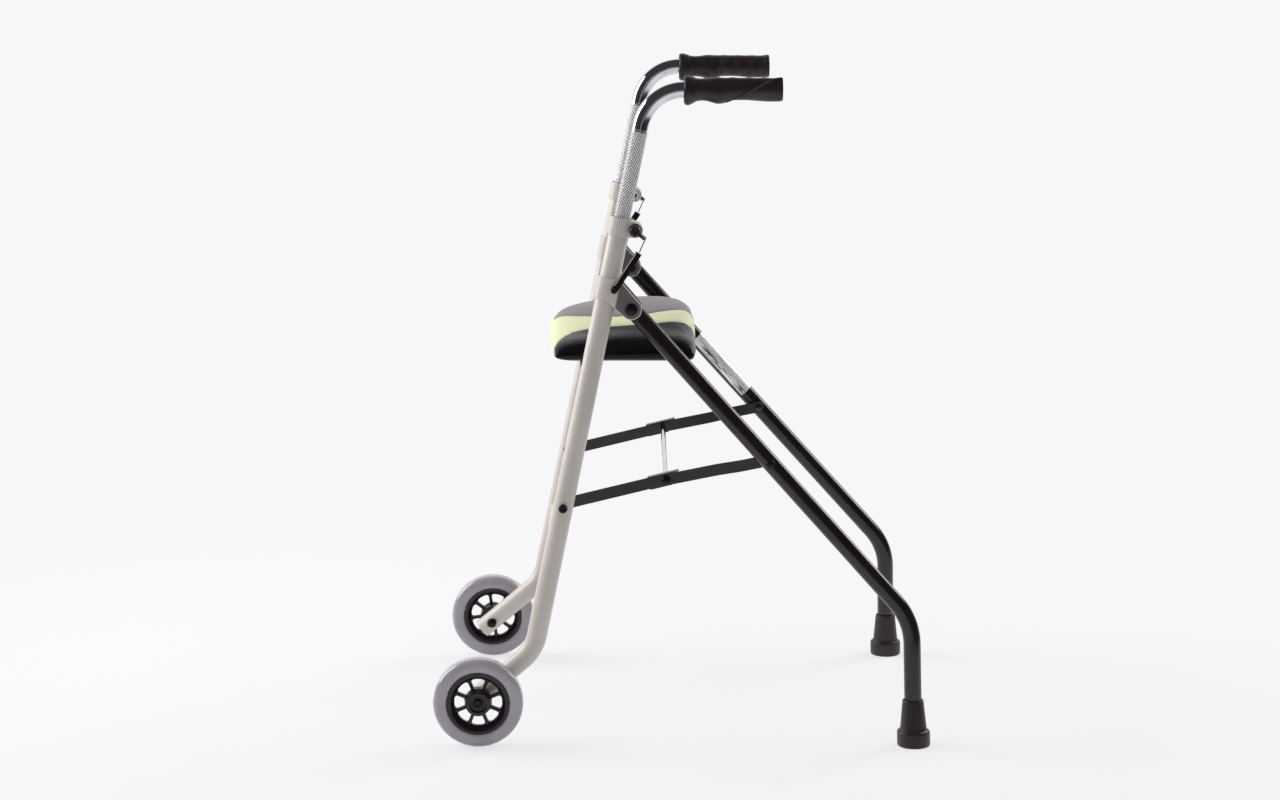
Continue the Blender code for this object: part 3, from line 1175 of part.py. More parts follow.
def build_seat(finishes):
    """The seat, which flips up about the seat cross tube."""
    flip = joint_empty("seat_axis", 0.0, SEAT_AXIS)
    make_seat_board(finishes["seat_board"], flip)
    for label, side in SIDES.items():
        make_saddle(label, side, finishes["black_plastic"], flip)
    make_cushion(finishes["seat_vinyl"], flip)


def build_levers(finishes):
    """Both lock levers, each on its pin."""
    for label, side in SIDES.items():
        pin = joint_empty(f"lever_axis_{label}", side * LEVER_X, LEVER_PIN)
        make_lever(label, side, finishes["black_steel"], pin)


def main():
    """Build the whole walker."""
    start_empty()
    finishes = make_materials()
    build_front_frame(finishes)
    build_wheels(finishes)
    build_handles(finishes)
    build_rear_frame(finishes)
    build_stays(finishes)
    build_seat(finishes)
    build_levers(finishes)
    bpy.context.view_layer.update()


main()
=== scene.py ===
"""Looks of a two-wheeled folding walker with a seat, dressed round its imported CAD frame.

Metres, in the frame of the CAD model: +Z up, the wheels face -Y, the camera looks along -X.
A side-view point is a (y, z) pair.
"""

import json
from math import acos, asin, atan2, cos, exp, hypot, pi, radians, sin, sqrt, tan, tau

import bmesh
import bpy
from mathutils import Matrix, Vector, noise


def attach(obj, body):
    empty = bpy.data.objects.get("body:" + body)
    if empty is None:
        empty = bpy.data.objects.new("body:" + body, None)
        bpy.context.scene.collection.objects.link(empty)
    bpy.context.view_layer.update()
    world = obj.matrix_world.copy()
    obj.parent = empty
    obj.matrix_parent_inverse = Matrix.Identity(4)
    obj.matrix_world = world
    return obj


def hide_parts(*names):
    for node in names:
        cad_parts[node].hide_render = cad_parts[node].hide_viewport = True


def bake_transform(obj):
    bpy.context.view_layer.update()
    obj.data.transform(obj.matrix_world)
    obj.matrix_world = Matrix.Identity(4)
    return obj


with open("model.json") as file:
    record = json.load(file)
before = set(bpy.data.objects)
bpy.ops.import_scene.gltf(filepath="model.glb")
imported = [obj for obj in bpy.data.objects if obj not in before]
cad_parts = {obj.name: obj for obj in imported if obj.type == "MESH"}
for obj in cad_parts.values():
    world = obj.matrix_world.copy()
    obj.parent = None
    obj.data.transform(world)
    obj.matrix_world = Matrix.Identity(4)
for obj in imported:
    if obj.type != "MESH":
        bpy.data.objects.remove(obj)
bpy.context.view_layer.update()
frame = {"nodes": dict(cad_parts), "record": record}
SIDES = {"left": 1.0, "right": -1.0}

# Sizes of the CAD model that the dressed pieces share
FRAME_HALF_WIDTH = 0.208
FIT_GAP = 0.0003
TUBE_R = 0.014
TUBE_WALL = 0.0015
TUBE_LEAN = radians(11.5)
TUBE_TOP_HEIGHT = 0.724
FORK_RISE = radians(40.0)
AXLE = (-0.2822, 0.0625)
HANDLE_R = 0.0111
HANDLE_FOOT_HEIGHT = 0.560
GRIP_HEIGHT = 0.906
GRIP_LENGTH = 0.1335
LEG_R = 0.012
LEG_ANGLE = radians(41.8)
FOOT_RAKE = radians(1.3)
FOOT_Y = 0.3218
FOOT_HALF_WIDTH = 0.2465
LEG_BEND_HALF_WIDTH = 0.230
WHEEL_HALF_TRACK = 0.245
HUB_HALF_WIDTH = 0.016
COLLAR_HALF_WIDTH = 0.0127
KNOB_X = 0.2243
LEVER_X = 0.2244
LEVER_LEAN = radians(33.4)
SPRING_LEAN = radians(-39.4)
CUSHION_HALF_WIDTH = 0.180

UP_TUBE = (sin(TUBE_LEAN), cos(TUBE_LEAN))
BEHIND_TUBE = (cos(TUBE_LEAN), -sin(TUBE_LEAN))
FORK_UP = (cos(FORK_RISE), sin(FORK_RISE))
LEG_DOWN = (sin(LEG_ANGLE), -cos(LEG_ANGLE))
LEVER_UP = (sin(LEVER_LEAN), cos(LEVER_LEAN))


def mm(*rows):
    """A table in millimetres as metres."""
    return [tuple(value / 1000 for value in row) for row in rows]


def shift(point, direction, distance, left=0.0):
    """Move a side-view point along a direction, and at right angles to it."""
    y, z = direction
    return (point[0] + y * distance - z * left, point[1] + z * distance + y * left)


def at(x, point):
    """A side-view point at a distance from the centre plane."""
    return Vector((x, *point))


FORK_BEND = shift(AXLE, FORK_UP, 0.0998)


def tube_at(height):
    """The point of the front tube's axis at a height."""
    return (FORK_BEND[0] + tan(TUBE_LEAN) * (height - FORK_BEND[1]), height)


def foot_at(height):
    """The point of the axis of a leg's foot at a height."""
    return (FOOT_Y - tan(FOOT_RAKE) * height, height)


PIVOT = (tube_at(0.608)[0] + 0.038, 0.608)
LEG_BEND_HEIGHT = ((PIVOT[0] + tan(LEG_ANGLE) * PIVOT[1] - FOOT_Y)
                   / (tan(LEG_ANGLE) - tan(FOOT_RAKE)))
LEG_BEND = foot_at(LEG_BEND_HEIGHT)
STAY_B = tube_at(0.331)
STAY_C = (-0.022247, 0.365728)
STAY_D = (PIVOT[0] + tan(LEG_ANGLE) * (PIVOT[1] - 0.3946), 0.3946)
CLAMP = (-0.064695, 0.716122)
SEAT_AXIS = tube_at(0.517)
LEVER_PIN = (PIVOT[0] - 0.0228, PIVOT[1] + 0.0280)
LEVER_TOP = shift(LEVER_PIN, LEVER_UP, 0.0657 - 0.0058)
GRIP_FRONT_Y = tube_at(GRIP_HEIGHT)[0] + 0.0482


def leg_half_width(height):
    """How far a rear leg's axis is from the centre plane at a height."""
    if height < LEG_BEND_HEIGHT:
        share = height / LEG_BEND_HEIGHT
        return FOOT_HALF_WIDTH + (LEG_BEND_HALF_WIDTH - FOOT_HALF_WIDTH) * share
    share = (PIVOT[1] - height) / (PIVOT[1] - LEG_BEND_HEIGHT)
    return FRAME_HALF_WIDTH + (LEG_BEND_HALF_WIDTH - FRAME_HALF_WIDTH) * share


# Materials

def rgb(*levels):
    """A display colour, each level 0 to 255, as a node colour."""
    shares = [level / 255 for level in levels]
    return tuple(share / 12.92 if share <= 0.04045 else ((share + 0.055) / 1.055) ** 2.4
                 for share in shares) + (1.0,)


def assign(made, **settings):
    """Set an object's attributes, and return it."""
    for key, value in settings.items():
        setattr(made, key, value)
    return made


class Graph:
    """Short calls for a shader's node tree."""

    def __init__(self, owner):
        self.owner = owner
        owner.use_nodes = True
        self.tree = owner.node_tree

    def feed(self, socket, value):
        """Link or set an input."""
        if isinstance(value, bpy.types.NodeSocket):
            self.tree.links.new(value, socket)
        else:
            socket.default_value = value

    def node(self, kind, inputs=None, **settings):
        """Add a node with its settings, and its inputs as values or links."""
        made = assign(self.tree.nodes.new("ShaderNode" + kind), **settings)
        for key, value in (inputs or {}).items():
            self.feed(made.inputs[key], value)
        return made

    def out(self, kind, inputs=None, **settings):
        """The first output of a new node."""
        return self.node(kind, inputs, **settings).outputs[0]

    def math(self, operation, *values):
        """A math node."""
        return self.out("Math", dict(enumerate(values)), operation=operation)

    def remap(self, value, low, high, to_low=0.0, to_high=1.0, kind="LINEAR"):
        """A clamped map from one range to another."""
        return self.out("MapRange", {"Value": value, 1: low, 2: high, 3: to_low, 4: to_high},
                        interpolation_type=kind)

    def ease(self, value, low, high, to_low, to_high):
        """A map with soft ends."""
        return self.remap(value, low, high, to_low, to_high, "SMOOTHSTEP")


class Surface(Graph):
    """A Principled material whose detail comes from nodes in the object's own coordinates."""

    def __init__(self, name, **fixed):
        super().__init__(bpy.data.materials.new(name))
        self.shader = self.tree.nodes["Principled BSDF"]
        self.place = self.node("TexCoord").outputs["Object"]
        for key, value in fixed.items():
            self.shader.inputs[key.replace("_", " ")].default_value = value

    def noise(self, scale, detail=3.0, roughness=0.5, place=None, distortion=0.0):
        """Soft noise, about 0.3 to 0.7."""
        return self.node("TexNoise", {"Vector": place or self.place, "Scale": scale, "Detail": detail,
                                      "Roughness": roughness, "Distortion": distortion}).outputs["Fac"]

    def mix(self, share, one, two):
        """Mix two colours."""
        return self.node("Mix", {0: share, 6: one, 7: two}, data_type="RGBA").outputs[2]

    def flecks(self, grain, other):
        """Put faint flecks of a display colour on the colour that is there."""
        before = self.shader.inputs["Base Color"].links[0].from_socket
        share = self.remap(grain, 0.62, 0.72, 0.0, 0.35)
        return self.set("Base Color", self.mix(share, before, rgb(*other)))

    def stretch(self, scale, turn=(0.0, 0.0, 0.0), place=None):
        """Scaled and turned coordinates."""
        return self.out("Mapping", {"Vector": place or self.place, "Rotation": turn, "Scale": scale})

    def set(self, key, value):
        """Link or set an input of the shader."""
        self.feed(self.shader.inputs[key], value)
        return self

    def rough(self, grain, smooth, rough, low=0.3):
        """Roughness that drifts between two values with a noise."""
        return self.set("Roughness", self.remap(grain, low, 0.7, smooth, rough))

    def bump(self, height, distance):
        """Add bump from a height of 0 to 1, on top of any bump already there."""
        before = self.shader.inputs["Normal"].links
        inputs = {"Height": height, "Distance": distance}
        if before:
            inputs["Normal"] = before[0].from_socket
        return self.set("Normal", self.out("Bump", inputs))


def plain(name, one, two, patch, rough, bump=None, span=(0.35, 0.7), low=0.3, **fixed):
    """A finish that drifts between two display colours.

    The patch is the noise of the colours, and the span its range. After its two ends, rough has the noise
    of the roughness, or nothing to share the patch. After its depth, bump has the noise of the grain.
    """
    made = Surface(name, **fixed)
    drift = made.noise(*patch)
    made.set("Base Color", made.mix(made.remap(drift, *span), rgb(*one), rgb(*two)))
    made.rough(made.noise(*rough[2:]) if rough[2:] else drift, *rough[:2], low)
    if bump:
        made.bump(made.noise(*bump[1:]), bump[0])
    return made


PAINT_TONES = (204, 197, 191), (196, 189, 182)


def grey_paint():
    """Gloss light grey paint with a soft orange peel and faint scuffs."""
    made = plain("grey_paint", *PAINT_TONES, (9.0, 4.0), (0.36, 0.5, 30.0, 4.0), (0.00012, 420.0, 2.0),
                 Coat_Weight=0.2, Coat_Roughness=0.3)
    return made.flecks(made.noise(55.0, 6.0, 0.7, made.stretch((1.0, 1.0, 0.35))), (168, 161, 155))


def chrome(name, clean, smudged, light, dull):
    """Chrome with faint smudges."""
    return plain(name, light, dull, (38.0, 5.0, 0.6), (clean, smudged), (0.0001, 60.0, 2.0), (0.4, 0.7), 0.35,
                 Metallic=1.0)


BRACKET_END_R = 0.0143
BRACKET_EDGE = 0.0011  # how wide the pale line on the cheek's edges shows: partly bare cut metal, partly a painted highlight
CHEEK_LOW = 0.012  # where a cheek's sides meet the tube, above the pivot
CHEEK_TOP = 0.043


def tangent_normal(point, turn):
    """The unit normal of the line from a point that touches the round end of a bracket's cheek."""
    y, z = point[0] - PIVOT[0], point[1] - PIVOT[1]
    angle = atan2(z, y) + turn * acos(BRACKET_END_R / hypot(y, z))
    return cos(angle), sin(angle)


def cut_edge_and_highlight(made, flat):
    """1 along the cut edge of a bracket's cheek, its two straight sides and its round end, where a pale line
    is painted: partly bare metal, partly a painted highlight.
    """
    low = tube_at(PIVOT[1] + CHEEK_LOW)
    top = shift(tube_at(PIVOT[1] + CHEEK_TOP), BEHIND_TUBE, TUBE_R)
    y = made.math("SUBTRACT", flat.outputs[1], PIVOT[0])
    z = made.math("SUBTRACT", flat.outputs[2], PIVOT[1])

    def line(normal):
        return made.math("MULTIPLY_ADD", z, normal[1], made.math("MULTIPLY", y, normal[0]))

    normals = tangent_normal(low, 1), tangent_normal(top, -1)
    sides = made.math("MAXIMUM", line(normals[0]), line(normals[1]))
    spread = made.math("SQRT", made.math("MULTIPLY_ADD", z, z, made.math("MULTIPLY", y, y)))
    towards_tube = line((-normals[0][1] + normals[1][1], normals[0][0] - normals[1][0]))
    end = made.math("MULTIPLY", spread, made.math("GREATER_THAN", towards_tube, 0.0))
    limit = BRACKET_END_R - BRACKET_EDGE
    return made.remap(made.math("MAXIMUM", sides, end), limit - 0.0002, limit)


def bracket_finish():
    """Grey paint on the band round the tube, satin steel on the cheeks behind it, with a pale line on their
    edges that is partly bare cut metal and partly a painted highlight.
    """
    made = Surface("bracket_finish")
    flat = made.node("SeparateXYZ", {"Vector": made.place})
    middle = tube_at(0.6)
    run = made.math("MULTIPLY", made.math("SUBTRACT", flat.outputs[1], middle[0]), BEHIND_TUBE[0])
    rise = made.math("SUBTRACT", flat.outputs[2], middle[1])
    cheek = made.remap(made.math("MULTIPLY_ADD", rise, BEHIND_TUBE[1], run), 0.0135, 0.0165)
    patch = made.noise(22.0, 5.0, 0.6)
    paint = made.mix(made.remap(patch, 0.35, 0.7), *(rgb(*tone) for tone in PAINT_TONES))
    steel = made.mix(made.remap(patch, 0.3, 0.7), rgb(130, 120, 119), rgb(111, 102, 102))
    # pale line along the cheek's edges: partly bare cut metal, partly a painted highlight
    steel = made.mix(cut_edge_and_highlight(made, flat), steel, rgb(232, 229, 228))
    made.set("Base Color", made.mix(cheek, paint, steel))
    made.set("Metallic", made.math("MULTIPLY", cheek, 0.5))
    made.rough(made.noise(55.0, 4.0), 0.3, 0.42)
    return made.bump(made.noise(420.0, 2.0), 0.00008)


def zinc_plate(name, light, dull):
    """Zinc plate with a grainy dull shine."""
    return plain(name, light, dull, (90.0, 4.0), (0.22, 0.42, 500.0), (0.00005, 500.0), (0.0, 1.0),
                 Metallic=1.0)


def moulded(name, dark, light, rough, grain, depth):
    """Moulded plastic or rubber: two close tones and a fine grain."""
    return plain(name, dark, light, (26.0, 5.0, 0.6), (rough - 0.07, rough + 0.07, 48.0, 4.0),
                 (depth, grain, 2.0), Specular_IOR_Level=0.4)


def tyre_grey():
    """Smooth grey tyre rubber with a little floor dust on the tread."""
    made = plain("tyre_grey", (166, 161, 168), (155, 150, 158), (34.0, 5.0, 0.6), (0.2, 0.32),
                 (0.00005, 260.0), Coat_Weight=0.5, Coat_Roughness=0.12)
    return made.flecks(made.noise(420.0, 4.0, 0.7), (116, 111, 116))


def upholstery(name, one, two, rough, shine=0.4, crease=0.0):
    """Grained seat vinyl, with creases of a depth."""
    made = plain(name, one, two, (20.0, 5.0, 0.6), (rough - 0.06, rough + 0.06, 60.0, 4.0),
                 Specular_IOR_Level=shine)
    if crease:
        fold = made.noise(30.0, 2.0, 0.4, made.stretch((0.7, 1.0, 1.8)), 0.5)
        made.bump(made.remap(fold, 0.3, 0.7), crease)
    cells = made.node("TexVoronoi", {"Vector": made.place, "Scale": 900.0}).outputs["Distance"]
    return made.bump(made.remap(cells, 0.0, 0.7, 1.0, 0.0), 0.00012)


def foil():
    """Silver foil stuck along a leg: pale, with dark streaks down its middle in side view, a painted
    reflection of the dark room in front.
    """
    made = Surface("silver_foil", Metallic=0.25)
    turned = made.stretch((1.0, 1.0, 1.0), (-LEG_ANGLE, 0.0, 0.0))
    run = made.stretch((1.0, 1.0, 0.10), place=turned)
    streak = made.ease(made.noise(330.0, 4.0, 0.6, run), 0.42, 0.60, 0.0, 1.0)
    # The dark streaks keep to a band along the leg's middle as seen from the side: painted reflection
    middle = PIVOT[0] * cos(LEG_ANGLE) + PIVOT[1] * sin(LEG_ANGLE) - 0.0016
    offset = made.math("SUBTRACT", made.node("SeparateXYZ", {0: turned}).outputs[1], middle)
    band = made.ease(made.math("ABSOLUTE", offset), 0.0015, 0.0050, 1.0, 0.0)
    blot = made.ease(made.noise(55.0), 0.36, 0.56, 0.25, 1.0)
    pale = made.mix(streak, rgb(250, 249, 251), rgb(214, 211, 217))
    dark = made.math("MULTIPLY", made.math("MULTIPLY", band, streak), blot)
    made.set("Base Color", made.mix(dark, pale, rgb(58, 54, 60)))
    made.set("Roughness", made.remap(streak, 0.0, 1.0, 0.24, 0.40))
    return made.bump(streak, 0.00008)


# Moulded slots: dark and light tone, roughness, scale and depth of the grain
MOULDED = {
    "black_plastic": ((33, 23, 31), (40, 30, 38), 0.3, 520.0, 0.00005),
    "black_rubber": ((40, 31, 38), (48, 38, 45), 0.42, 800.0, 0.00008),
    "soft_grip": ((38, 28, 33), (47, 36, 41), 0.40, 1500.0, 0.0001),
    "nylon": ((212, 210, 202), (200, 197, 188), 0.5, 400.0, 0.00004),
    "seat_board": ((36, 33, 35), (44, 40, 42), 0.5, 600.0, 0.0001),
}
LOOKS = {
    "grey_paint": grey_paint(),
    "black_paint": plain("black_paint", (25, 16, 22), (44, 35, 41), (16.0, 5.0, 0.6), (0.17, 0.26, 24.0),
                         span=(0.4, 0.75, 0.0, 0.5)),
    "black_steel": plain("black_steel", (25, 22, 26), (54, 50, 54), (260.0, 6.0, 0.7), (0.24, 0.4, 70.0, 4.0),
                         (0.00005, 700.0, 2.0), (0.58, 0.7, 0.0, 0.5), Metallic=0.3, Specular_IOR_Level=0.25),
    "chrome": chrome("chrome", 0.05, 0.16, (214, 215, 219), (196, 196, 203)),
    # The knurl's darkened chrome tops and near-white groove flanks are painted reflection: dark diamonds and
    # light lines
    "knurl": chrome("knurl", 0.12, 0.24, (96, 90, 94), (80, 74, 79)),
    "groove": plain("knurl_groove", (250, 249, 252), (238, 236, 240), (240.0,), (0.3, 0.45), Metallic=0.1),
    "bracket": bracket_finish(),
    # A pale strip finish for the lever's flange edge: a painted highlight
    "edge": plain("bare_edge", (222, 219, 218), (186, 182, 181), (300.0, 4.0, 0.6), (0.3, 0.5),
                  Metallic=0.25),
    "zinc": zinc_plate("bright_zinc", (196, 196, 198), (150, 149, 152)),
    "wire": zinc_plate("dull_wire", (88, 85, 88), (60, 57, 60)),
    "tyre_grey": tyre_grey(),
    "seat_grey": upholstery("seat_grey", (139, 133, 137), (128, 122, 127), 0.5),
    "seat_lime": upholstery("seat_lime", (226, 229, 188), (216, 219, 176), 0.52),
    "seat_black": upholstery("seat_black", (20, 15, 22), (15, 11, 18), 0.3, 0.2, 0.00025),
    "foil": foil(),
}
LOOKS.update({slot: moulded(slot, *look) for slot, look in MOULDED.items()})
FINISH = {slot: look.owner for slot, look in LOOKS.items()}


# Mesh helpers

def mesh_from(name, bm):
    """A bmesh as a mesh, with its faces turned outwards."""
    bmesh.ops.recalc_face_normals(bm, faces=bm.faces)
    mesh = bpy.data.meshes.new(name)
    bm.to_mesh(mesh)
    bm.free()
    return mesh


def placed(name, data):
    """A new object in the scene."""
    made = bpy.data.objects.new(name, data)
    bpy.context.scene.collection.objects.link(made)
    return made


def evaluated(made):
    """A new mesh of an object as its modifiers leave it."""
    graph = bpy.context.evaluated_depsgraph_get()
    return bpy.data.meshes.new_from_object(made.evaluated_get(graph), depsgraph=graph)


def modify(made, kind, **settings):
    """Add a modifier with its settings."""
    return assign(made.modifiers.new(kind.lower(), kind), **settings)


def bake_modifiers(made):
    """Replace an object's mesh by its evaluated mesh."""
    mesh = evaluated(made)
    made.modifiers.clear()
    made.data = mesh
    return mesh


def coat(mesh, *names):
    """Give a mesh its finishes, in place of any that it has."""
    if len(mesh.materials):  # clearing them sets every face back to the first finish
        mesh.materials.clear()
    for name in names:
        mesh.materials.append(FINISH[name])


def smooth(mesh, angle=38.0):
    """Shade a mesh smooth, apart from edges sharper than an angle in degrees."""
    mesh.shade_smooth()
    mesh.set_sharp_from_angle(angle=radians(angle))


def finish(name, bm, surface, body, node=None, slot=None, extra=(), **shading):
    """Turn a bmesh into a dressed piece that rides on a body and may stand for a CAD node.

    The slot is not used.
    """
    mesh = mesh_from(name, bm)
    coat(mesh, surface, *extra)
    smooth(mesh, **shading)
    made = placed(name, mesh)
    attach(made, body)
    if node:
        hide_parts(node)
    return made


def band(bm, low, high):
    """Join two rings of vertices by a band of faces."""
    rings = zip(low, low[1:] + low[:1], high[1:] + high[:1], high)
    return [bm.faces.new(corners) for corners in rings]


def skin(rings, wrap=False, bm=None):
    """Bridge equal rings of points, and close the first and last unless they wrap."""
    bm = bmesh.new() if bm is None else bm
    rows = [[bm.verts.new(point) for point in ring] for ring in rings]
    for low, high in zip(rows, rows[1:] + rows[:1] if wrap else rows[1:]):
        band(bm, low, high)
    if not wrap:
        bm.faces.new(rows[0])
        bm.faces.new(rows[-1])
    return bm


def plate(outline, x_low, x_high, bm):
    """Extrude a side-view outline across the walker."""
    skin([[(x, *point) for point in outline] for x in (x_low, x_high)], bm=bm)


def circle(centre, across, along, radius, sides=48):
    """Points round a centre in the plane of two unit vectors."""
    points = []
    for index in range(sides):
        angle = (index + 0.5) * tau / sides
        points.append(centre + across * (radius * cos(angle)) + along * (radius * sin(angle)))
    return points


def bent_path(points, radius, steps):
    """A polyline with round bends, as (point, tangent) pairs."""
    path = [(points[0], (points[1] - points[0]).normalized())]
    for before, corner, after in zip(points, points[1:], points[2:]):
        arrive = (corner - before).normalized()
        leave = (after - corner).normalized()
        turn = arrive.angle(leave)
        inward = (leave - arrive * arrive.dot(leave)).normalized()
        centre = corner - arrive * (radius * tan(turn / 2)) + inward * radius
        for step in range(steps + 1):
            swept = turn * step / steps
            spoke = arrive * sin(swept) - inward * cos(swept)
            path.append((centre + spoke * radius, arrive * cos(swept) + inward * sin(swept)))
    path.append((points[-1], (points[-1] - points[-2]).normalized()))
    return path


TUBE_LIP = 0.0006


def tube(points, bend_radius, outer, plug=0.0, steps=24, waist=()):
    """A bent tube with rounded end edges; a plug closes its first end.

    The waist gives distances along the first straight run, each with how much thinner the tube is there.
    """
    path = bent_path(points, bend_radius, steps)
    if len(points) > 2:
        normal = (points[1] - points[0]).cross(points[-1] - points[-2]).normalized()
    else:
        normal = path[0][1].orthogonal().normalized()

    def ring(place, radius, ahead=0.0):
        spot, tangent = place
        return circle(spot + tangent * ahead, normal, tangent.cross(normal), radius)

    start, stop = path[0], path[-1]
    lip = ((TUBE_LIP, 0.0), (TUBE_LIP * 0.3, TUBE_LIP * 0.3), (0.0, TUBE_LIP))
    rings = [ring(start, outer - thinner, ahead) for thinner, ahead in lip]
    rings += [ring(start, outer - thinner, ahead) for ahead, thinner in waist]
    rings += [ring(place, outer) for place in path[1:-1]]
    rings += [ring(stop, outer - thinner, -ahead) for thinner, ahead in reversed(lip)]
    rings += [ring(stop, outer - TUBE_WALL)] + [ring(place, outer - TUBE_WALL) for place in path[-2:0:-1]]
    rings.append(ring(start, outer - TUBE_WALL, plug))
    return skin(rings, wrap=plug == 0.0)


def turned(profile, centre, axis, sides=48, bored=False, bm=None):
    """Turn a profile of (radius, distance along the axis) round an axis."""
    axis, centre = Vector(axis).normalized(), Vector(centre)
    across = Vector((0, 0, 1)) if abs(axis.z) < 0.9 else Vector((1, 0, 0))
    across = (across - axis * across.dot(axis)).normalized()
    along = axis.cross(across)
    rings = [circle(centre + axis * offset, across, along, radius, sides) for radius, offset in profile]
    return skin(rings, bored, bm)


def rounded(profile, size, steps=3):
    """Round the inner corners of an open profile, each by at most a size."""
    fine = [profile[0]]
    for before, corner, after in zip(profile, profile[1:], profile[2:]):
        here, one, two = Vector(corner), Vector(before), Vector(after)
        reach = min(size, (one - here).length * 0.45, (two - here).length * 0.45)
        start = here + (one - here).normalized() * reach
        stop = here + (two - here).normalized() * reach
        for step in range(steps + 1):
            share = step / steps
            fine.append(tuple(start.lerp(here, share).lerp(here.lerp(stop, share), share)))
    fine.append(profile[-1])
    return fine


def cut(target, bm):
    """Cut a piece with a hidden mesh and keep the result in its own mesh."""
    cutter = placed("cutter", mesh_from("cutter", bm))
    modify(target, "BOOLEAN", operation="DIFFERENCE", solver="EXACT", object=cutter)
    smooth(bake_modifiers(target))
    bpy.data.objects.remove(cutter, do_unlink=True)


# Pieces

def dress_front_tube(label, side):
    """The grey fork and riser."""
    x = side * FRAME_HALF_WIDTH
    run = (shift(AXLE, FORK_UP, -0.020), FORK_BEND, tube_at(TUBE_TOP_HEIGHT))
    bm = tube([at(x, point) for point in run], 0.065, TUBE_R, plug=0.003)
    finish(f"painted_tube_{label}", bm, "grey_paint", "front_frame", f"front_tube_{label}")


WELD_BEAD = mm((-1, -0.2), (1.6, 0.6), (1.9, 2.4), (0.4, 4.6), (-1, 4.8))
CROSS_TUBES = ("seat_cross_tube", SEAT_AXIS[1], 0.011), ("lower_cross_tube", 0.240, 0.0095)


def dress_cross_tubes():
    """The two painted tubes between the front tubes, with their weld beads."""
    reach = FRAME_HALF_WIDTH - TUBE_R * 0.9
    for name, height, radius in CROSS_TUBES:
        middle = tube_at(height)
        bm = tube([at(-reach, middle), at(reach, middle)], 0.1, radius)
        for side in SIDES.values():
            turned([(radius + proud, ahead) for proud, ahead in WELD_BEAD], at(side * reach, middle),
                   (-side, 0, 0), bm=bm)
        finish(f"painted_{name}", bm, "grey_paint", "front_frame", name)


def dress_leg(label, side):
    """A gloss black rear leg."""
    slope = (LEG_BEND_HALF_WIDTH - FRAME_HALF_WIDTH) / (PIVOT[1] - LEG_BEND_HEIGHT)
    top = shift(PIVOT, LEG_DOWN, -0.014)
    foot = foot_at(0.010)
    points = [at(side * (FRAME_HALF_WIDTH - slope * (top[1] - PIVOT[1])), top),
              at(side * LEG_BEND_HALF_WIDTH, LEG_BEND), at(side * leg_half_width(foot[1]), foot)]
    finish(f"painted_leg_{label}", tube(points, 0.090, LEG_R), "black_paint", "rear_frame",
           f"rear_leg_{label}")


KNURL_AROUND = 19
KNURL_PITCH = 0.0045
KNURL_DEPTH = 0.0003
KNURL_TOP = 0.62  # the share of a diamond that is flat
KNURL_LOW = 0.590
KNURL_HIGH = 0.852


def dress_knurl(label, side):
    """The diamond knurl: flat-topped diamonds between crossed grooves, on a thin sleeve."""
    rows = round((KNURL_HIGH - KNURL_LOW) / cos(TUBE_LEAN) / KNURL_PITCH)
    up = at(0, UP_TUBE)
    base = at(side * FRAME_HALF_WIDTH, tube_at(KNURL_LOW))
    behind = at(0, BEHIND_TUBE)
    bm = bmesh.new()
    shared = {}

    def corner(around, along, radius):
        angle = around / KNURL_AROUND * tau
        out = Vector((side * cos(angle), 0, 0)) + behind * sin(angle)
        return base + up * (along * KNURL_PITCH) + out * radius

    def low(around, along):
        key = (round(around * 2) % (KNURL_AROUND * 2), round(along * 2))
        if key not in shared:
            shared[key] = bm.verts.new(corner(around, along, HANDLE_R - KNURL_DEPTH))
        return shared[key]

    ways = ((0.5, 0.0), (0.0, 0.5), (-0.5, 0.0), (0.0, -0.5))
    for row in range(1, rows * 2):
        for place in range(KNURL_AROUND):
            around, along = place + (row % 2) * 0.5, row * 0.5
            floor = [low(around + a, along + b) for a, b in ways]
            top = [bm.verts.new(corner(around + a * KNURL_TOP, along + b * KNURL_TOP, HANDLE_R))
                   for a, b in ways]
            bm.faces.new(top)
            for flank in band(bm, floor, top):
                # the flanks take the near-white groove finish: painted highlight lines
                flank.material_index = 1
    finish(f"knurl_{label}", bm, "knurl", f"handle_{label}", slot="chrome", extra=["groove"], angle=12.0)


def dress_handle(label, side):
    """The chromed handle tube; it is thinner under the knurl."""
    x = side * FRAME_HALF_WIDTH
    run = (tube_at(HANDLE_FOOT_HEIGHT), tube_at(GRIP_HEIGHT),
           (GRIP_FRONT_Y + GRIP_LENGTH - 0.0063, GRIP_HEIGHT))
    low, high = ((height - HANDLE_FOOT_HEIGHT) / cos(TUBE_LEAN) for height in (KNURL_LOW, KNURL_HIGH))
    waist = ((low, 0.0), (low + 0.0004, 0.00035), (high - 0.0004, 0.00035), (high, 0.0))
    bm = tube([at(x, point) for point in run], 0.060, HANDLE_R, steps=32, waist=waist)
    finish(f"chromed_handle_{label}", bm, "chrome", f"handle_{label}", f"handle_tube_{label}")
    dress_knurl(label, side)


# The grip: stations of (distance from its front edge, radius), and the finger grooves' places
GRIP_OUTLINE = mm(
    (0, 16.8), (2.5, 18.9), (6.5, 19.1), (11.5, 17.6), (17.5, 15.4), (24, 14.9), (31, 15.4), (39, 16.6),
    (46, 17), (129.5, 16.3), (132.5, 15.8), (133.5, 14.6))
GRIP_GROOVES = (0.056, 0.077, 0.098, 0.119)
GRIP_GROOVE_REACH = 0.0105
GRIP_RIDGE_START = 0.054
GRIP_STEP = 0.0011


def grip_radius(distance):
    """The grip's plain radius at a distance from its front edge, eased between its first stations."""
    for (low, low_r), (high, high_r) in zip(GRIP_OUTLINE, GRIP_OUTLINE[1:]):
        if distance <= high:
            share = (distance - low) / (high - low)
            if high < 0.047:
                share = share * 0.5 + 0.5 * share * share * (3 - 2 * share)
            return low_r + (high_r - low_r) * share
    return GRIP_OUTLINE[-1][1]


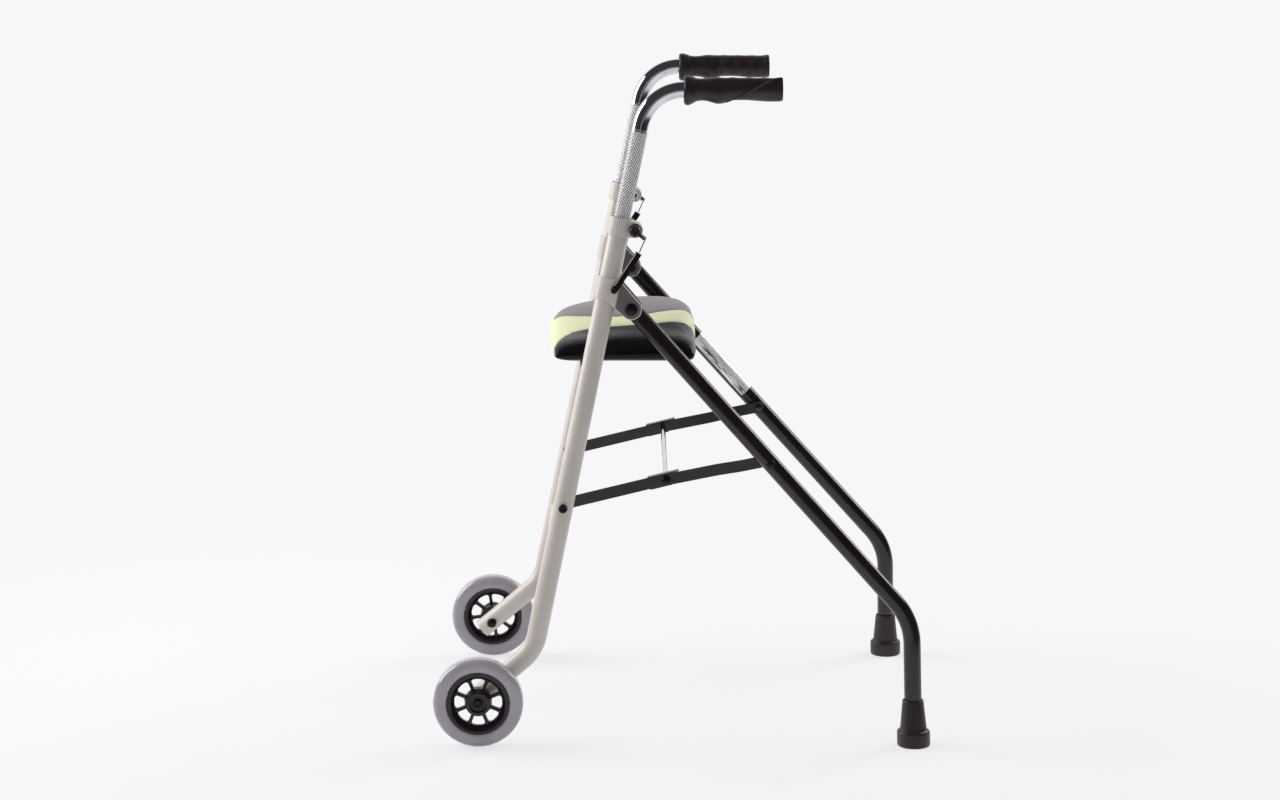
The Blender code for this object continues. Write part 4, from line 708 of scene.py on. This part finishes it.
def grip_shaping(distance, angle):
    """How far the hand's shaping cuts into the grip; 0 is outward and a quarter turn is up."""
    under = max(0.0, -sin(angle))
    bulges = exp(-((distance - 0.006) / 0.009) ** 2) + 1.1 * exp(-((distance - 0.047) / 0.010) ** 2)
    cut_in = -0.0022 * under * bulges
    inner = max(0.0, -cos(angle + radians(20)))
    for groove in GRIP_GROOVES:
        apart = abs(distance - groove)
        if apart < GRIP_GROOVE_REACH:
            cut_in += 0.0031 * inner * cos(apart / GRIP_GROOVE_REACH * pi / 2)
    along = (distance - GRIP_RIDGE_START) / (GRIP_LENGTH - GRIP_RIDGE_START)
    if 0.0 < along < 1.0:
        below = radians(-78 + 158 * along ** 0.9) - angle
        if below > -0.2:
            ridge = exp(-(below / 0.06) ** 2)
            dip = max(0.0, min(1.0, below / 0.13, (2.3 - below) / 0.9))
            cut_in += min(1.0, along * 14) * (0.0024 * dip - 0.0013 * ridge)
    return cut_in


def dress_grip(label, side):
    """The moulded grip: bulge and waist, a palm ridge outside, four finger grooves inside."""
    sides = 160
    bore = HANDLE_R + FIT_GAP
    stations = sorted({round(index * GRIP_STEP, 6) for index in range(int(GRIP_LENGTH / GRIP_STEP) + 1)}
                      | {0.0, 0.0004, GRIP_LENGTH - 0.0012, GRIP_LENGTH - 0.0005, GRIP_LENGTH})
    rings = []
    for distance, base in [(GRIP_LENGTH - 0.006, bore), (0.0, bore)] + [(place, None) for place in stations]:
        ring = []
        for index in range(sides):
            angle = (index + 0.5) * tau / sides
            signed = (angle + pi) % tau - pi
            radius = base or grip_radius(distance) - grip_shaping(distance, signed)
            ring.append((side * (FRAME_HALF_WIDTH + radius * cos(angle)), GRIP_FRONT_Y + distance,
                         GRIP_HEIGHT + radius * sin(angle)))
        rings.append(ring)
    finish(f"moulded_grip_{label}", skin(rings), "soft_grip", f"handle_{label}", f"grip_{label}")


# A profile of (radius, height), from the bore over the outside and back into the bore
FERRULE = mm(
    (12.5, 8), (12.5, 64), (13.9, 64), (14.7, 62.5), (18.2, 26.5), (19.2, 22.5), (21.9, 21.3), (22.9, 19),
    (23, 10.5), (22.9, 2), (21.7, 0), (12.5, 0), (10.5, 1.6))


def dress_ferrule(label, side):
    """The rubber foot."""
    rings = []
    for radius, height in rounded(FERRULE, 0.0006):
        centre = at(side * leg_half_width(height), foot_at(height))
        rings.append(circle(centre, Vector((1, 0, 0)), Vector((0, 1, 0)), radius, 64))
    finish(f"rubber_foot_{label}", skin(rings), "black_rubber", "rear_frame", f"ferrule_{label}")


WHEEL_TURN = {"left": radians(22.5), "right": radians(8.0)}
SPOKES = 8
SPOKE_HALF_WIDTH = 0.0022
WINDOW_HALF_DEPTH = 0.006
WINDOW_LOW_R = 0.0192
WINDOW_HIGH_R = 0.0332
WINDOW_ROUND = {WINDOW_LOW_R: 0.12, WINDOW_HIGH_R: 0.30}  # the share of its sides that a corner rounds
# Half profiles of (radius, distance from the wheel's middle), from the bore outwards
TYRE = mm((44.2, 12.5), (45.7, 13.7), (50, 14.3), (56, 13.7), (60, 11.7), (62.3, 8.1), (62.5, 4.3))
HUB = mm(
    (7, -16), (7, 11), (11.8, 11), (11.8, 15.5), (12.4, 16), (15.5, 16), (15.8, 15.2), (16.6, 15),
    (17.1, 14))
RIM = mm(
    (18.1, 4.2), (19, 3), (33.1, 3), (34.1, 4), (37.2, 10.5), (38.2, 11.8), (40.5, 12.5), (43.6, 12.5),
    (43.9, 12.2))
# A rib's stations along its spoke: radius, half depth and half width
RIB = mm((16.8, 8.5, 1.3), (22, 6.2, 1.1), (34, 5.6, 1.1))


def mirrored(profile):
    """A half profile's other half, from its end back to its start."""
    return [(radius, -offset) for radius, offset in reversed(profile)]


def window_outline(middle):
    """A rim window with rounded corners, as (radius, angle) pairs round the wheel."""
    corners = []
    for radius, way in ((WINDOW_LOW_R, -1), (WINDOW_LOW_R, 1), (WINDOW_HIGH_R, 1), (WINDOW_HIGH_R, -1)):
        corners.append((radius, middle + way * (pi / SPOKES - asin(SPOKE_HALF_WIDTH / radius))))

    def between(one, two, share):
        return [a + (b - a) * share for a, b in zip(one, two)]

    outline = []
    for place, corner in enumerate(corners):
        before, after = corners[place - 1], corners[(place + 1) % 4]
        near = WINDOW_ROUND[corner[0]]
        for step in range(5):
            share = step / 4
            outline.append(between(between(corner, before, near * (1 - share)),
                                   between(corner, after, near * share), share))
        if place == 2:
            outline += [between(corner, after, share) for share in (0.4, 0.6)]
    return outline


def dress_wheel(label, side):
    """The tyre, and the rim with its windows and ribs."""
    body = f"wheel_{label}"
    centre = at(side * WHEEL_HALF_TRACK, AXLE)
    axis = (side, 0, 0)
    profile = [(0.0442, -0.0125)] + TYRE + mirrored(TYRE[1:]) + [(0.0442, -0.0125)]
    tyre = turned(rounded(profile, 0.0022, 4)[:-1], centre, axis, 120, True)
    finish(f"soft_tyre_{label}", tyre, "tyre_grey", body, f"tyre_{label}", angle=60.0)

    profile = HUB + RIM + mirrored(RIM) + [(0.0175, -HUB_HALF_WIDTH)]
    rim = finish(f"spoked_rim_{label}", turned(profile, centre, axis, 96, True), "black_plastic", body,
                 f"rim_{label}")
    x = side * WHEEL_HALF_TRACK
    windows, ribs = bmesh.new(), bmesh.new()
    for index in range(SPOKES):
        middle = (index + 0.5) * tau / SPOKES + WHEEL_TURN[label]
        outline = [(AXLE[0] + radius * cos(angle), AXLE[1] + radius * sin(angle))
                   for radius, angle in window_outline(middle)]
        plate(outline, x - WINDOW_HALF_DEPTH, x + WINDOW_HALF_DEPTH, windows)
        angle = index * tau / SPOKES + WHEEL_TURN[label]
        out = Vector((0, cos(angle), sin(angle)))
        over = Vector((0, -sin(angle), cos(angle)))
        rings = []
        for radius, deep, wide in RIB:
            spot = centre + out * radius
            rings.append([spot + Vector((way * deep, 0, 0)) + over * (wide * sign)
                          for way, sign in ((-1, -1), (1, -1), (1, 1), (-1, 1))])
        skin(rings, bm=ribs)
    cut(rim, windows)
    finish(f"rim_ribs_{label}", ribs, "black_plastic", body)


def dome(radius, height, steps=7):
    """A domed head's profile from its seat to its crown."""
    profile = [(radius, 0.0), (radius, height * 0.3)]
    for step in range(1, steps):
        angle = radians(86) * step / (steps - 1)
        profile.append((radius * cos(angle), height * (0.3 + 0.7 * sin(angle))))
    return profile


def button(radius, height):
    """A flat round head's profile with a broken edge."""
    return [(radius, 0.0), (radius, height * 0.6), (radius * 0.96, height * 0.85), (radius * 0.84, height)]


def bolt(nut_x, head_x, shank, nut, head, recess=0.0):
    """The profile of a bolt with its nut, as on the CAD solid, and with a recess in its head."""
    profile = [(radius, nut_x - height) for radius, height in reversed(nut)]
    profile += [(shank, nut_x), (shank, head_x)]
    profile += [(radius, head_x + height) for radius, height in head]
    if recess:
        top = head_x + head[-1][1]
        profile += [(recess, top), (recess * 0.96, top - 0.0018), (recess * 0.3, top - 0.0022)]
    return profile


KNEE_NUT_X = 0.2007
KNOB_HEAD = mm(
    (6.7, 224.3), (7.5, 225.5), (7.5, 232.3), (6.3, 233.9), (4.5, 234.3), (4.2, 233.8), (0.8, 233.6))


def dress_bolts(label, side):
    """Every bolt, nut and knob of one side."""
    leg_at_d = leg_half_width(STAY_D[1]) - LEG_R
    knob_start = FRAME_HALF_WIDTH - COLLAR_HALF_WIDTH - 0.006
    knob = [(0.0024, knob_start), (0.003, knob_start + 0.0006), (0.003, KNOB_X)] + KNOB_HEAD
    cap = [(0.0028, KNEE_NUT_X + 0.004), (0.0028, KNEE_NUT_X)]
    cap += [(radius, KNEE_NUT_X + height) for radius, height in dome(0.0064, 0.0052)]
    spacer = [(0.0069, 0.0), (0.0069, 0.003)]
    for name, node, body, point, profile in (
            ("axle_screw", "axle_bolt", "front_frame", AXLE,
             bolt(0.1937, WHEEL_HALF_TRACK + 0.0113, 0.004, dome(0.0073, 0.0072), button(0.0068, 0.0052),
                  0.0027)),
            ("stay_screw", "stay_front_bolt", "front_frame", STAY_B,
             bolt(0.1904, 0.2223, 0.003, dome(0.0058, 0.0050), button(0.0062, 0.0045), 0.0024)),
            ("pivot_screw", "leg_pivot_bolt", "front_frame", PIVOT,
             bolt(0.1916, 0.2244, 0.004, dome(0.0072, 0.0065), dome(0.0086, 0.0056))),
            ("leg_stay_screw", "stay_rear_bolt", "rear_frame", STAY_D,
             bolt(leg_at_d - FIT_GAP, leg_at_d + 0.0246, 0.003, spacer, dome(0.0062, 0.0042))),
            ("knee_cap_nut", "knee_nut", "front_stays", STAY_C, cap),
            ("turning_knob", "clamp_knob", f"clamp_knob_{label}", CLAMP, knob)):
        surface = "black_plastic" if profile is knob else "black_steel"
        finish(f"{name}_{label}", turned(profile, (0, *point), (side, 0, 0), 36), surface, body,
               f"{node}_{label}")


ROD_END = mm((3.6, 188.4), (3.4, 188.6), (2.5, 188.6), (2.5, 198.9), (2.1, 199.4))


def dress_rod():
    """The bright rod between the knees."""
    rod = turned(mirrored(ROD_END) + ROD_END, (0, *STAY_C), (1, 0, 0), 32)
    finish("bright_rod", rod, "chrome", "front_stays", "cross_rod")


LEVER_FACE = 0.2289
LEVER_RIBS = 46
LEVER_RIB_PITCH = 0.00115


def dress_lever(label, side):
    """The lever's ribbed face, and a pale strip along its flange's edge that is a painted highlight."""
    def bar(bm, low, high, near, far, proud):
        corners = [shift(LEVER_PIN, LEVER_UP, along, -back)
                   for along, back in ((low, near), (low, far), (high, far), (high, near))]
        plate(corners, side * (LEVER_FACE - 0.0004), side * (LEVER_FACE + proud), bm)

    ribs, edge = bmesh.new(), bmesh.new()
    for index in range(LEVER_RIBS):
        along = index * LEVER_RIB_PITCH
        bar(ribs, 0.0055 + along, 0.0061 + along, -0.0005, 0.0040, 0.0004)
    # a pale strip along the flange's edge: painted highlight
    bar(edge, 0.0050, 0.0590, -0.0038, -0.0027, 0.0002)
    finish(f"lever_ribs_{label}", ribs, "black_steel", f"lock_lever_{label}")
    finish(f"lever_edge_highlight_{label}", edge, "edge", f"lock_lever_{label}", slot="zinc")


WIRE_R = 0.00075
COIL_R = 0.0025
COIL_START = 0.0088  # along the wire from the clamp bolt
COIL_PITCH = 0.0022
COIL_TURNS = 4
COIL_STEPS = 24


def wire_points():
    """The wire's middle on the left side: an eye round the clamp bolt, the coil, a kink, the long run."""
    toward = (cos(SPRING_LEAN), sin(SPRING_LEAN))
    eye_x = FRAME_HALF_WIDTH + COLLAR_HALF_WIDTH + FIT_GAP + 0.0012 + FIT_GAP + WIRE_R
    eye_r = 0.003 + FIT_GAP + WIRE_R
    coil_x = eye_x + COIL_R
    lever_x = LEVER_X + 0.00225

    def spot(x, ahead, up):
        return at(x, shift(CLAMP, toward, ahead, up))

    points = []
    for step in range(33):
        angle = radians(75 + 8 * step)
        points.append(spot(eye_x, eye_r * cos(angle), eye_r * sin(angle)))
    for step in range(COIL_TURNS * COIL_STEPS + 1):
        angle = step / COIL_STEPS * tau + pi
        points.append(spot(coil_x + COIL_R * cos(angle), COIL_START + step / COIL_STEPS * COIL_PITCH,
                           COIL_R * sin(angle)))
    kink = shift(CLAMP, toward, COIL_START + COIL_TURNS * COIL_PITCH + 0.0012, -0.0046)
    start = at(coil_x, kink)
    stop = at(lever_x, shift(LEVER_TOP, LEVER_UP, FIT_GAP + WIRE_R * 0.9))
    points += [at(coil_x, shift(kink, toward, 0.0, 0.0016)), start]
    return points + [start.lerp(stop, share) for share in (0.12, 0.5, 0.85, 1.0)], lever_x


def dress_spring_link(label, side):
    """The coil spring and its straight wire, as one unbroken wire."""
    points, lever_x = wire_points()
    curve = assign(bpy.data.curves.new("wire", "CURVE"), dimensions="3D", bevel_depth=WIRE_R,
                   bevel_resolution=4, use_fill_caps=True)
    spline = curve.splines.new("POLY")
    spline.points.add(len(points) - 1)
    for target, point in zip(spline.points, points):
        target.co = (side * point.x, point.y, point.z, 1.0)
    source = placed("wire", curve)
    mesh = evaluated(source)
    bpy.data.objects.remove(source, do_unlink=True)
    coat(mesh, "wire")
    mesh.shade_smooth()
    made = placed(f"coil_spring_{label}", mesh)
    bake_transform(made)
    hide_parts(f"spring_link_{label}")


# The cushion

# Its middle section: distance behind the seat's axis, height above the underside
CUSHION_TOP = mm(
    (-59.5, 16), (-59.7, 21), (-58.8, 28), (-56, 35), (-50.8, 40.8), (-44.5, 45.3), (-33.8, 50.1),
    (-15.3, 54.8), (3.3, 57.8), (26.2, 60.3), (47.6, 61.9), (69, 63), (85, 63.6), (100, 63.2), (112, 61.9),
    (126, 58.8), (136, 53.1), (142, 46.2), (145.5, 36.6), (147, 24))
CUSHION_UNDER = mm(
    (147.4, 8.5), (144, 2.5), (138, 0), (100, 0), (50, 0), (0, 0), (-35, 0), (-45, 1), (-53, 4.5),
    (-58, 10.5))
CUSHION_BOTTOM = 0.5290
CUSHION_MIDDLE = 0.0450
CUSHION_CROWN = 0.0636
CUSHION_SHRINK = 0.003  # left for the swell
SWELL_CAP = 0.006
SWELL_FRAMES = 20
DOME_HALF_WIDTH = 0.135
SHELL_HALF_WIDTH = 0.1815
SHELL_SHARE = 0.62
SEAM_DEPTH = 0.0013
SEAM_HALF_WIDTH = 0.0022
# Panel edges: place along the seat, distance from the centre plane
GREY_EDGE = mm(
    (-183.5, 0), (-177.3, 18), (-170.5, 29), (-161.1, 41), (-148.1, 55), (-122.5, 72), (-97.5, 81),
    (-75.8, 83), (-60, 81), (-42.7, 77), (-23.5, 66), (-9.2, 53), (3.8, 39), (15.3, 20), (19, 0))
GREY_LOWEST = 0.024  # above the underside, below which the front and rear are all lime
BLACK_EDGE = mm(
    (-177.5, 168), (-176.9, 151), (-176.5, 145), (-170.9, 133), (-163.4, 116), (-152.9, 106),
    (-130.4, 108), (-97.3, 112), (-63.2, 113), (-33.1, 110), (-0.6, 92.5), (10.3, 82), (17.8, 69),
    (21, 64))


def edge_at(edge, y):
    """A panel edge's distance from the centre plane at a place along the seat, and its slope."""
    low_y, low_x = edge[0]
    for high_y, high_x in edge[1:]:
        slope = (high_x - low_x) / (high_y - low_y)
        if y <= high_y:
            return low_x + slope * max(0.0, y - low_y), slope
        low_y, low_x = high_y, high_x
    return edge[-1][1], 0.0


def panel_value(point):
    """Signed distances to the two panel edges: grey to lime, then lime to black."""
    values = []
    for edge in (GREY_EDGE, BLACK_EDGE):
        middle, slope = edge_at(edge, point.y)
        values.append((abs(point.x) - middle) / hypot(1.0, slope))
    values[0] = max(values[0], GREY_EDGE[0][0] - point.y, point.y - GREY_EDGE[-1][0],
                    CUSHION_BOTTOM + GREY_LOWEST - point.z)
    return values


def seam_distance(point):
    """How far a point is from the nearest seam."""
    return min(abs(value) for value in panel_value(point))


def cushion_height(x, crown):
    """The height at a distance from the middle section, where that is as high as a crown.

    A dome, which narrows towards the seat's ends, stands on a shell with a round edge.
    """
    dome_height = 0.0
    if crown > 0.0:
        dome_height = 1.0 - (x / (DOME_HALF_WIDTH * (crown / CUSHION_CROWN) ** 1.1)) ** 2
    shell = sqrt(1.0 - (x / SHELL_HALF_WIDTH) ** 10)
    return crown * ((1.0 - SHELL_SHARE) * max(0.0, dome_height) + SHELL_SHARE * shell)


def cushion_form():
    """The cushion's closed form, its top lower than the finished cushion's."""
    width = CUSHION_HALF_WIDTH
    lifted = {width - 0.0055: 0.0010, width - 0.0022: 0.0030, width: 0.0062}
    stations = [width * share for share in (0.0, 0.12, 0.24, 0.36, 0.48, 0.6, 0.7, 0.79, 0.86, 0.91)]
    stations += [width - 0.010, *lifted]
    rings = []
    for x in [-value for value in stations[:0:-1]] + stations:
        share = abs(x) / width
        ring = []
        for behind, crown in CUSHION_TOP + CUSHION_UNDER:
            height = cushion_height(x, crown) - CUSHION_SHRINK * min(1.0, crown / 0.03)
            along = behind - CUSHION_MIDDLE
            along *= 1.0 - (0.08 if along < 0.0 else 0.015) * share ** 2
            ring.append((x, SEAT_AXIS[0] + CUSHION_MIDDLE + along,
                         CUSHION_BOTTOM + max(lifted.get(abs(x), 0.0), height)))
        rings.append(ring)
    return mesh_from("cushion", skin(rings))


def inflate(made):
    """Swell the cushion as cloth under pressure, held at its seams and underside, each move capped."""
    group = made.vertex_groups.new(name="held")
    for vertex in made.data.vertices:
        held = max(0.0, 1.0 - seam_distance(vertex.co) / 0.006) * 0.9
        if vertex.co.z < CUSHION_BOTTOM + 0.004:
            held = 1.0
        if held > 0.0:
            group.add([vertex.index], held, "REPLACE")
    cloth = modify(made, "CLOTH")
    assign(cloth.settings, vertex_group_mass="held", use_pressure=True, uniform_pressure_force=4.0)
    assign(cloth.point_cache, frame_start=1, frame_end=SWELL_FRAMES)
    cloth.settings.effector_weights.gravity = 0.0
    before = [vertex.co.copy() for vertex in made.data.vertices]
    for step in range(1, SWELL_FRAMES + 1):
        bpy.context.scene.frame_set(step)
    mesh = bake_modifiers(made)
    bpy.context.scene.frame_set(1)
    for vertex, start in zip(mesh.vertices, before):
        move = vertex.co - start
        if move.length > SWELL_CAP:
            vertex.co = start + move.normalized() * SWELL_CAP


def split_along(bm, value):
    """Cut the mesh's faces along the zero line of a value."""
    values = {vert: value(vert.co) for vert in bm.verts}
    cuts = []
    for edge in list(bm.edges):
        one, two = (values[vert] for vert in edge.verts)
        if one * two < 0.0 and min(abs(one), abs(two)) > 0.00002:
            cuts.append((edge, one / (one - two)))
    fresh = {bmesh.utils.edge_split(edge, edge.verts[0], share)[1] for edge, share in cuts}
    for face in list(bm.faces):
        found = [vert for vert in face.verts if vert in fresh]
        if len(found) == 2 and not any(edge.other_vert(found[0]) is found[1] for edge in found[0].link_edges):
            bmesh.utils.face_split(face, found[0], found[1])


def dress_cushion():
    """The padded seat: grey top, lime bands, black vinyl sides."""
    made = placed("padded_seat", cushion_form())
    modify(made, "REMESH", mode="VOXEL", voxel_size=0.005)
    modify(made, "SMOOTH", factor=0.5, iterations=3)
    bake_modifiers(made)
    inflate(made)
    modify(made, "SUBSURF", levels=1, render_levels=1)
    mesh = bake_modifiers(made)
    coat(mesh, "seat_grey", "seat_lime", "seat_black")
    bm = bmesh.new()
    bm.from_mesh(mesh)
    for index in (0, 1):
        split_along(bm, lambda point: panel_value(point)[index])
    bm.normal_update()
    normals = [vert.normal.copy() for vert in bm.verts]
    for vert, normal in zip(bm.verts, normals):
        if vert.co.z > CUSHION_BOTTOM + 0.006:
            vert.co -= normal * SEAM_DEPTH * exp(-(seam_distance(vert.co) / SEAM_HALF_WIDTH) ** 2)
    for face in bm.faces:
        middle = face.calc_center_median()
        first, second = panel_value(middle)
        face.material_index = 0 if first < 0 else (1 if second < 0 else 2)
        if face.normal.z < -0.7 and middle.z < CUSHION_BOTTOM + 0.004:
            face.material_index = 2
        face.smooth = True
    bm.to_mesh(mesh)
    bm.free()
    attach(made, "seat")
    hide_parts("seat_cushion")


def dress_saddle_screws():
    """The four screws that hold the saddles under the seat's board."""
    bm = bmesh.new()
    screw = [(0.0016, -0.001)] + button(0.0042, 0.0024) + [(0.0020, 0.0024), (0.0017, 0.0012)]
    for side in SIDES.values():
        for way in (-1.0, 1.0):
            turned(screw, (side * 0.120, SEAT_AXIS[0] + way * 0.0203, 0.5233), (0, 0, -1), 24, bm=bm)
    finish("saddle_screws", bm, "zinc", "seat")


FOIL_SPAN = (0.145, 0.257)  # along the leg from its pivot
FOIL_EDGES = (radians(-34), radians(236))  # round the leg, from straight inwards


def dress_foil():
    """A bare silver foil along the right leg, with a gap between its long edges."""
    start = at(-FRAME_HALF_WIDTH, PIVOT)
    way = (at(-LEG_BEND_HALF_WIDTH, LEG_BEND) - start).normalized()
    outward = (Vector((1, 0, 0)) - way * way.x).normalized()
    upward = outward.cross(way)
    rings = []
    for step in range(57):
        distance = FOIL_SPAN[0] + (FOIL_SPAN[1] - FOIL_SPAN[0]) * step / 56
        outer, inner = [], []
        for index in range(61):
            angle = FOIL_EDGES[0] + (FOIL_EDGES[1] - FOIL_EDGES[0]) * index / 60
            out = outward * cos(angle) + upward * sin(angle)
            lift = 0.0003 + 0.00010 * noise.noise(Vector((angle * 2.2, 0.0, distance * 18)))
            outer.append(start + way * distance + out * (LEG_R + lift))
            inner.append(start + way * distance + out * (LEG_R - 0.0004))
        rings.append(outer + inner[::-1])
    finish("bare_foil", skin(rings), "foil", "rear_frame", slot="zinc")


def smoothing():
    """A node group that welds a faceted mesh and shades its round faces smooth."""
    group = bpy.data.node_groups.new("smooth_by_angle", "GeometryNodeTree")
    for way in ("INPUT", "OUTPUT"):
        group.interface.new_socket("Geometry", in_out=way, socket_type="NodeSocketGeometry")
    kinds = ("NodeGroupInput", "GeometryNodeRemoveAttribute", "GeometryNodeMergeByDistance",
             "GeometryNodeSetShadeSmooth", "GeometryNodeSetShadeSmooth", "NodeGroupOutput")
    chain = [group.nodes.new(kind) for kind in kinds]
    for before, after in zip(chain, chain[1:]):
        group.links.new(before.outputs[0], after.inputs[0])
    forget, weld, _, edges = chain[1:5]
    forget.inputs["Name"].default_value = "custom_normal"
    weld.inputs["Distance"].default_value = 0.00002
    edges.domain = "EDGE"
    edges.inputs["Shade Smooth"].default_value = False
    angle = group.nodes.new("GeometryNodeInputMeshEdgeAngle")
    sharp = group.nodes.new("FunctionNodeCompare")
    sharp.inputs[1].default_value = radians(32.0)
    group.links.new(angle.outputs[0], sharp.inputs[0])
    group.links.new(sharp.outputs[0], edges.inputs["Selection"])
    return group


def dress_kept_nodes():
    """Better materials, soft edges and smooth round faces for the CAD pieces that stay."""
    slots = {part["node"]: part["material_slot"] for part in frame["record"]["subparts"]}
    group = smoothing()
    for name, made in frame["nodes"].items():
        surface = "bracket" if name.startswith("pivot_bracket") else slots[name]
        coat(made.data, surface if surface in FINISH else "seat_black")
        modify(made, "NODES", node_group=group)
        modify(made, "BEVEL", width=0.0004, segments=2, limit_method="ANGLE", angle_limit=radians(40.0))


# The setting

FLOOR_REACH = 30.0
BACKDROP = rgb(247, 247, 249)
ROOM_DARK = 0.05
# Lamps: place, width, height and power; both aim at the walker's middle
LAMPS = {"key": ((-0.6, -2.9, 1.8), 2.0, 2.0, 84.0), "rim": ((-1.5, 2.4, 2.0), 1.0, 1.6, 40.0)}
LAMP_AIM = Vector((0, 0, 0.45))
# The camera as fitted to the photograph
SENSOR_WIDTH = 36.0
FOCAL_PIXELS = 3158.0
PHOTO_WIDTH = 1280.0
CAMERA_SPOT = (4.474, -0.0730, 1.258)
CAMERA_PITCH = radians(10.3)
CAMERA_YAW = radians(0.2)


def pale_floor():
    """A pale paper sweep: it shows soft shadows near the part, and metal sees it as a strip."""
    graph = Graph(bpy.data.materials.new("pale_floor"))
    graph.tree.nodes.clear()
    place = graph.node("TexCoord").outputs["Object"]
    split = graph.node("SeparateXYZ", {"Vector": place})
    far = graph.node("VectorMath", {0: place}, operation="LENGTH").outputs["Value"]
    seen = graph.node("LightPath")
    along = graph.ease(graph.math("ABSOLUTE", split.outputs[1]), 1.1, 1.7, 1.0, ROOM_DARK)
    strip = graph.math("MULTIPLY", along, graph.ease(split.outputs[0], 1.3, 3.6, 1.0, 0.2))
    behind = graph.ease(split.outputs[0], -1.4, -0.5, 1.0, 0.0)
    in_metal = graph.math("MAXIMUM", strip, behind)
    glossy = seen.outputs["Is Glossy Ray"]
    strength = graph.math("ADD", graph.math("MULTIPLY", glossy, graph.math("SUBTRACT", in_metal, 1.0)), 1.0)
    shown = graph.out("Emission", {"Color": BACKDROP, "Strength": strength})
    lit = graph.out("BsdfDiffuse", {"Color": (0.80, 0.80, 0.81, 1.0)})
    share = graph.math("MAXIMUM", graph.ease(far, 0.5, 1.6, 0.72, 1.0), glossy)
    direct = graph.math("MAXIMUM", seen.outputs["Is Camera Ray"], glossy)
    direct = graph.math("MAXIMUM", direct, seen.outputs["Is Transmission Ray"])
    blend = graph.out("MixShader", {0: graph.math("MULTIPLY", share, direct), 1: lit, 2: shown})
    graph.node("OutputMaterial", {0: blend})
    return graph.owner


def studio_world():
    """White for the camera; a room that is bright behind the part and darker in front for the rest."""
    graph = Graph(bpy.data.worlds.new("studio"))
    graph.tree.nodes.clear()
    bpy.context.scene.world = graph.owner
    place = graph.node("TexCoord").outputs["Generated"]
    across = graph.out("SeparateXYZ", {"Vector": place})
    seen = graph.node("LightPath")
    backdrop = graph.out("Background", {"Color": BACKDROP})
    white = (1.0, 1.0, 1.0, 1.0)
    room, in_metal = (graph.out("Background", {"Color": white, "Strength": graph.ease(across, *levels)})
                      for levels in ((-0.5, 0.7, 0.80, 0.42), (-0.8, -0.5, 0.93, ROOM_DARK)))
    first = graph.out("MixShader", {0: seen.outputs["Is Glossy Ray"], 1: room, 2: in_metal})
    sharp = graph.math("MAXIMUM", seen.outputs["Is Camera Ray"], seen.outputs["Is Transmission Ray"])
    graph.node("OutputWorld", {0: graph.out("MixShader", {0: sharp, 1: first, 2: backdrop})})


def aim(made, spot, way):
    """Put a lamp or the camera at a spot and turn it along a way."""
    made.location = spot
    made.rotation_euler = way.to_track_quat("-Z", "Y").to_euler()


def set_stage():
    """The floor, the world, the lamps and the camera."""
    mesh = bpy.data.meshes.new("floor")
    corners = ((-1, -1), (1, -1), (1, 1), (-1, 1))
    mesh.from_pydata([(x * FLOOR_REACH, y * FLOOR_REACH, 0.0) for x, y in corners], [], [(0, 1, 2, 3)])
    mesh.materials.append(pale_floor())
    placed("floor", mesh)
    studio_world()
    for name, (spot, width, height, power) in LAMPS.items():
        lamp = assign(bpy.data.lights.new(name, "AREA"), energy=power, shape="RECTANGLE", size=width,
                      size_y=height)
        aim(placed(name, lamp), spot, LAMP_AIM - Vector(spot))

    camera = assign(bpy.data.cameras.new("camera"), sensor_width=SENSOR_WIDTH, clip_end=200.0,
                    lens=FOCAL_PIXELS / PHOTO_WIDTH * SENSOR_WIDTH, shift_y=-0.0014)
    made = placed("camera", camera)
    level = cos(CAMERA_PITCH)
    aim(made, CAMERA_SPOT, Vector((-level * cos(CAMERA_YAW), level * sin(CAMERA_YAW),
                                   -sin(CAMERA_PITCH))))
    bpy.context.scene.camera = made


def main():
    """Dress the walker."""
    bpy.context.scene.view_settings.view_transform = "Standard"
    set_stage()
    dress_kept_nodes()
    dress_cushion()
    dress_cross_tubes()
    dress_rod()
    dress_saddle_screws()
    dress_foil()
    dress_side = (dress_front_tube, dress_leg, dress_handle, dress_grip, dress_ferrule, dress_wheel,
                  dress_bolts, dress_lever, dress_spring_link)
    for label, side in SIDES.items():
        for dress in dress_side:
            dress(label, side)


main()
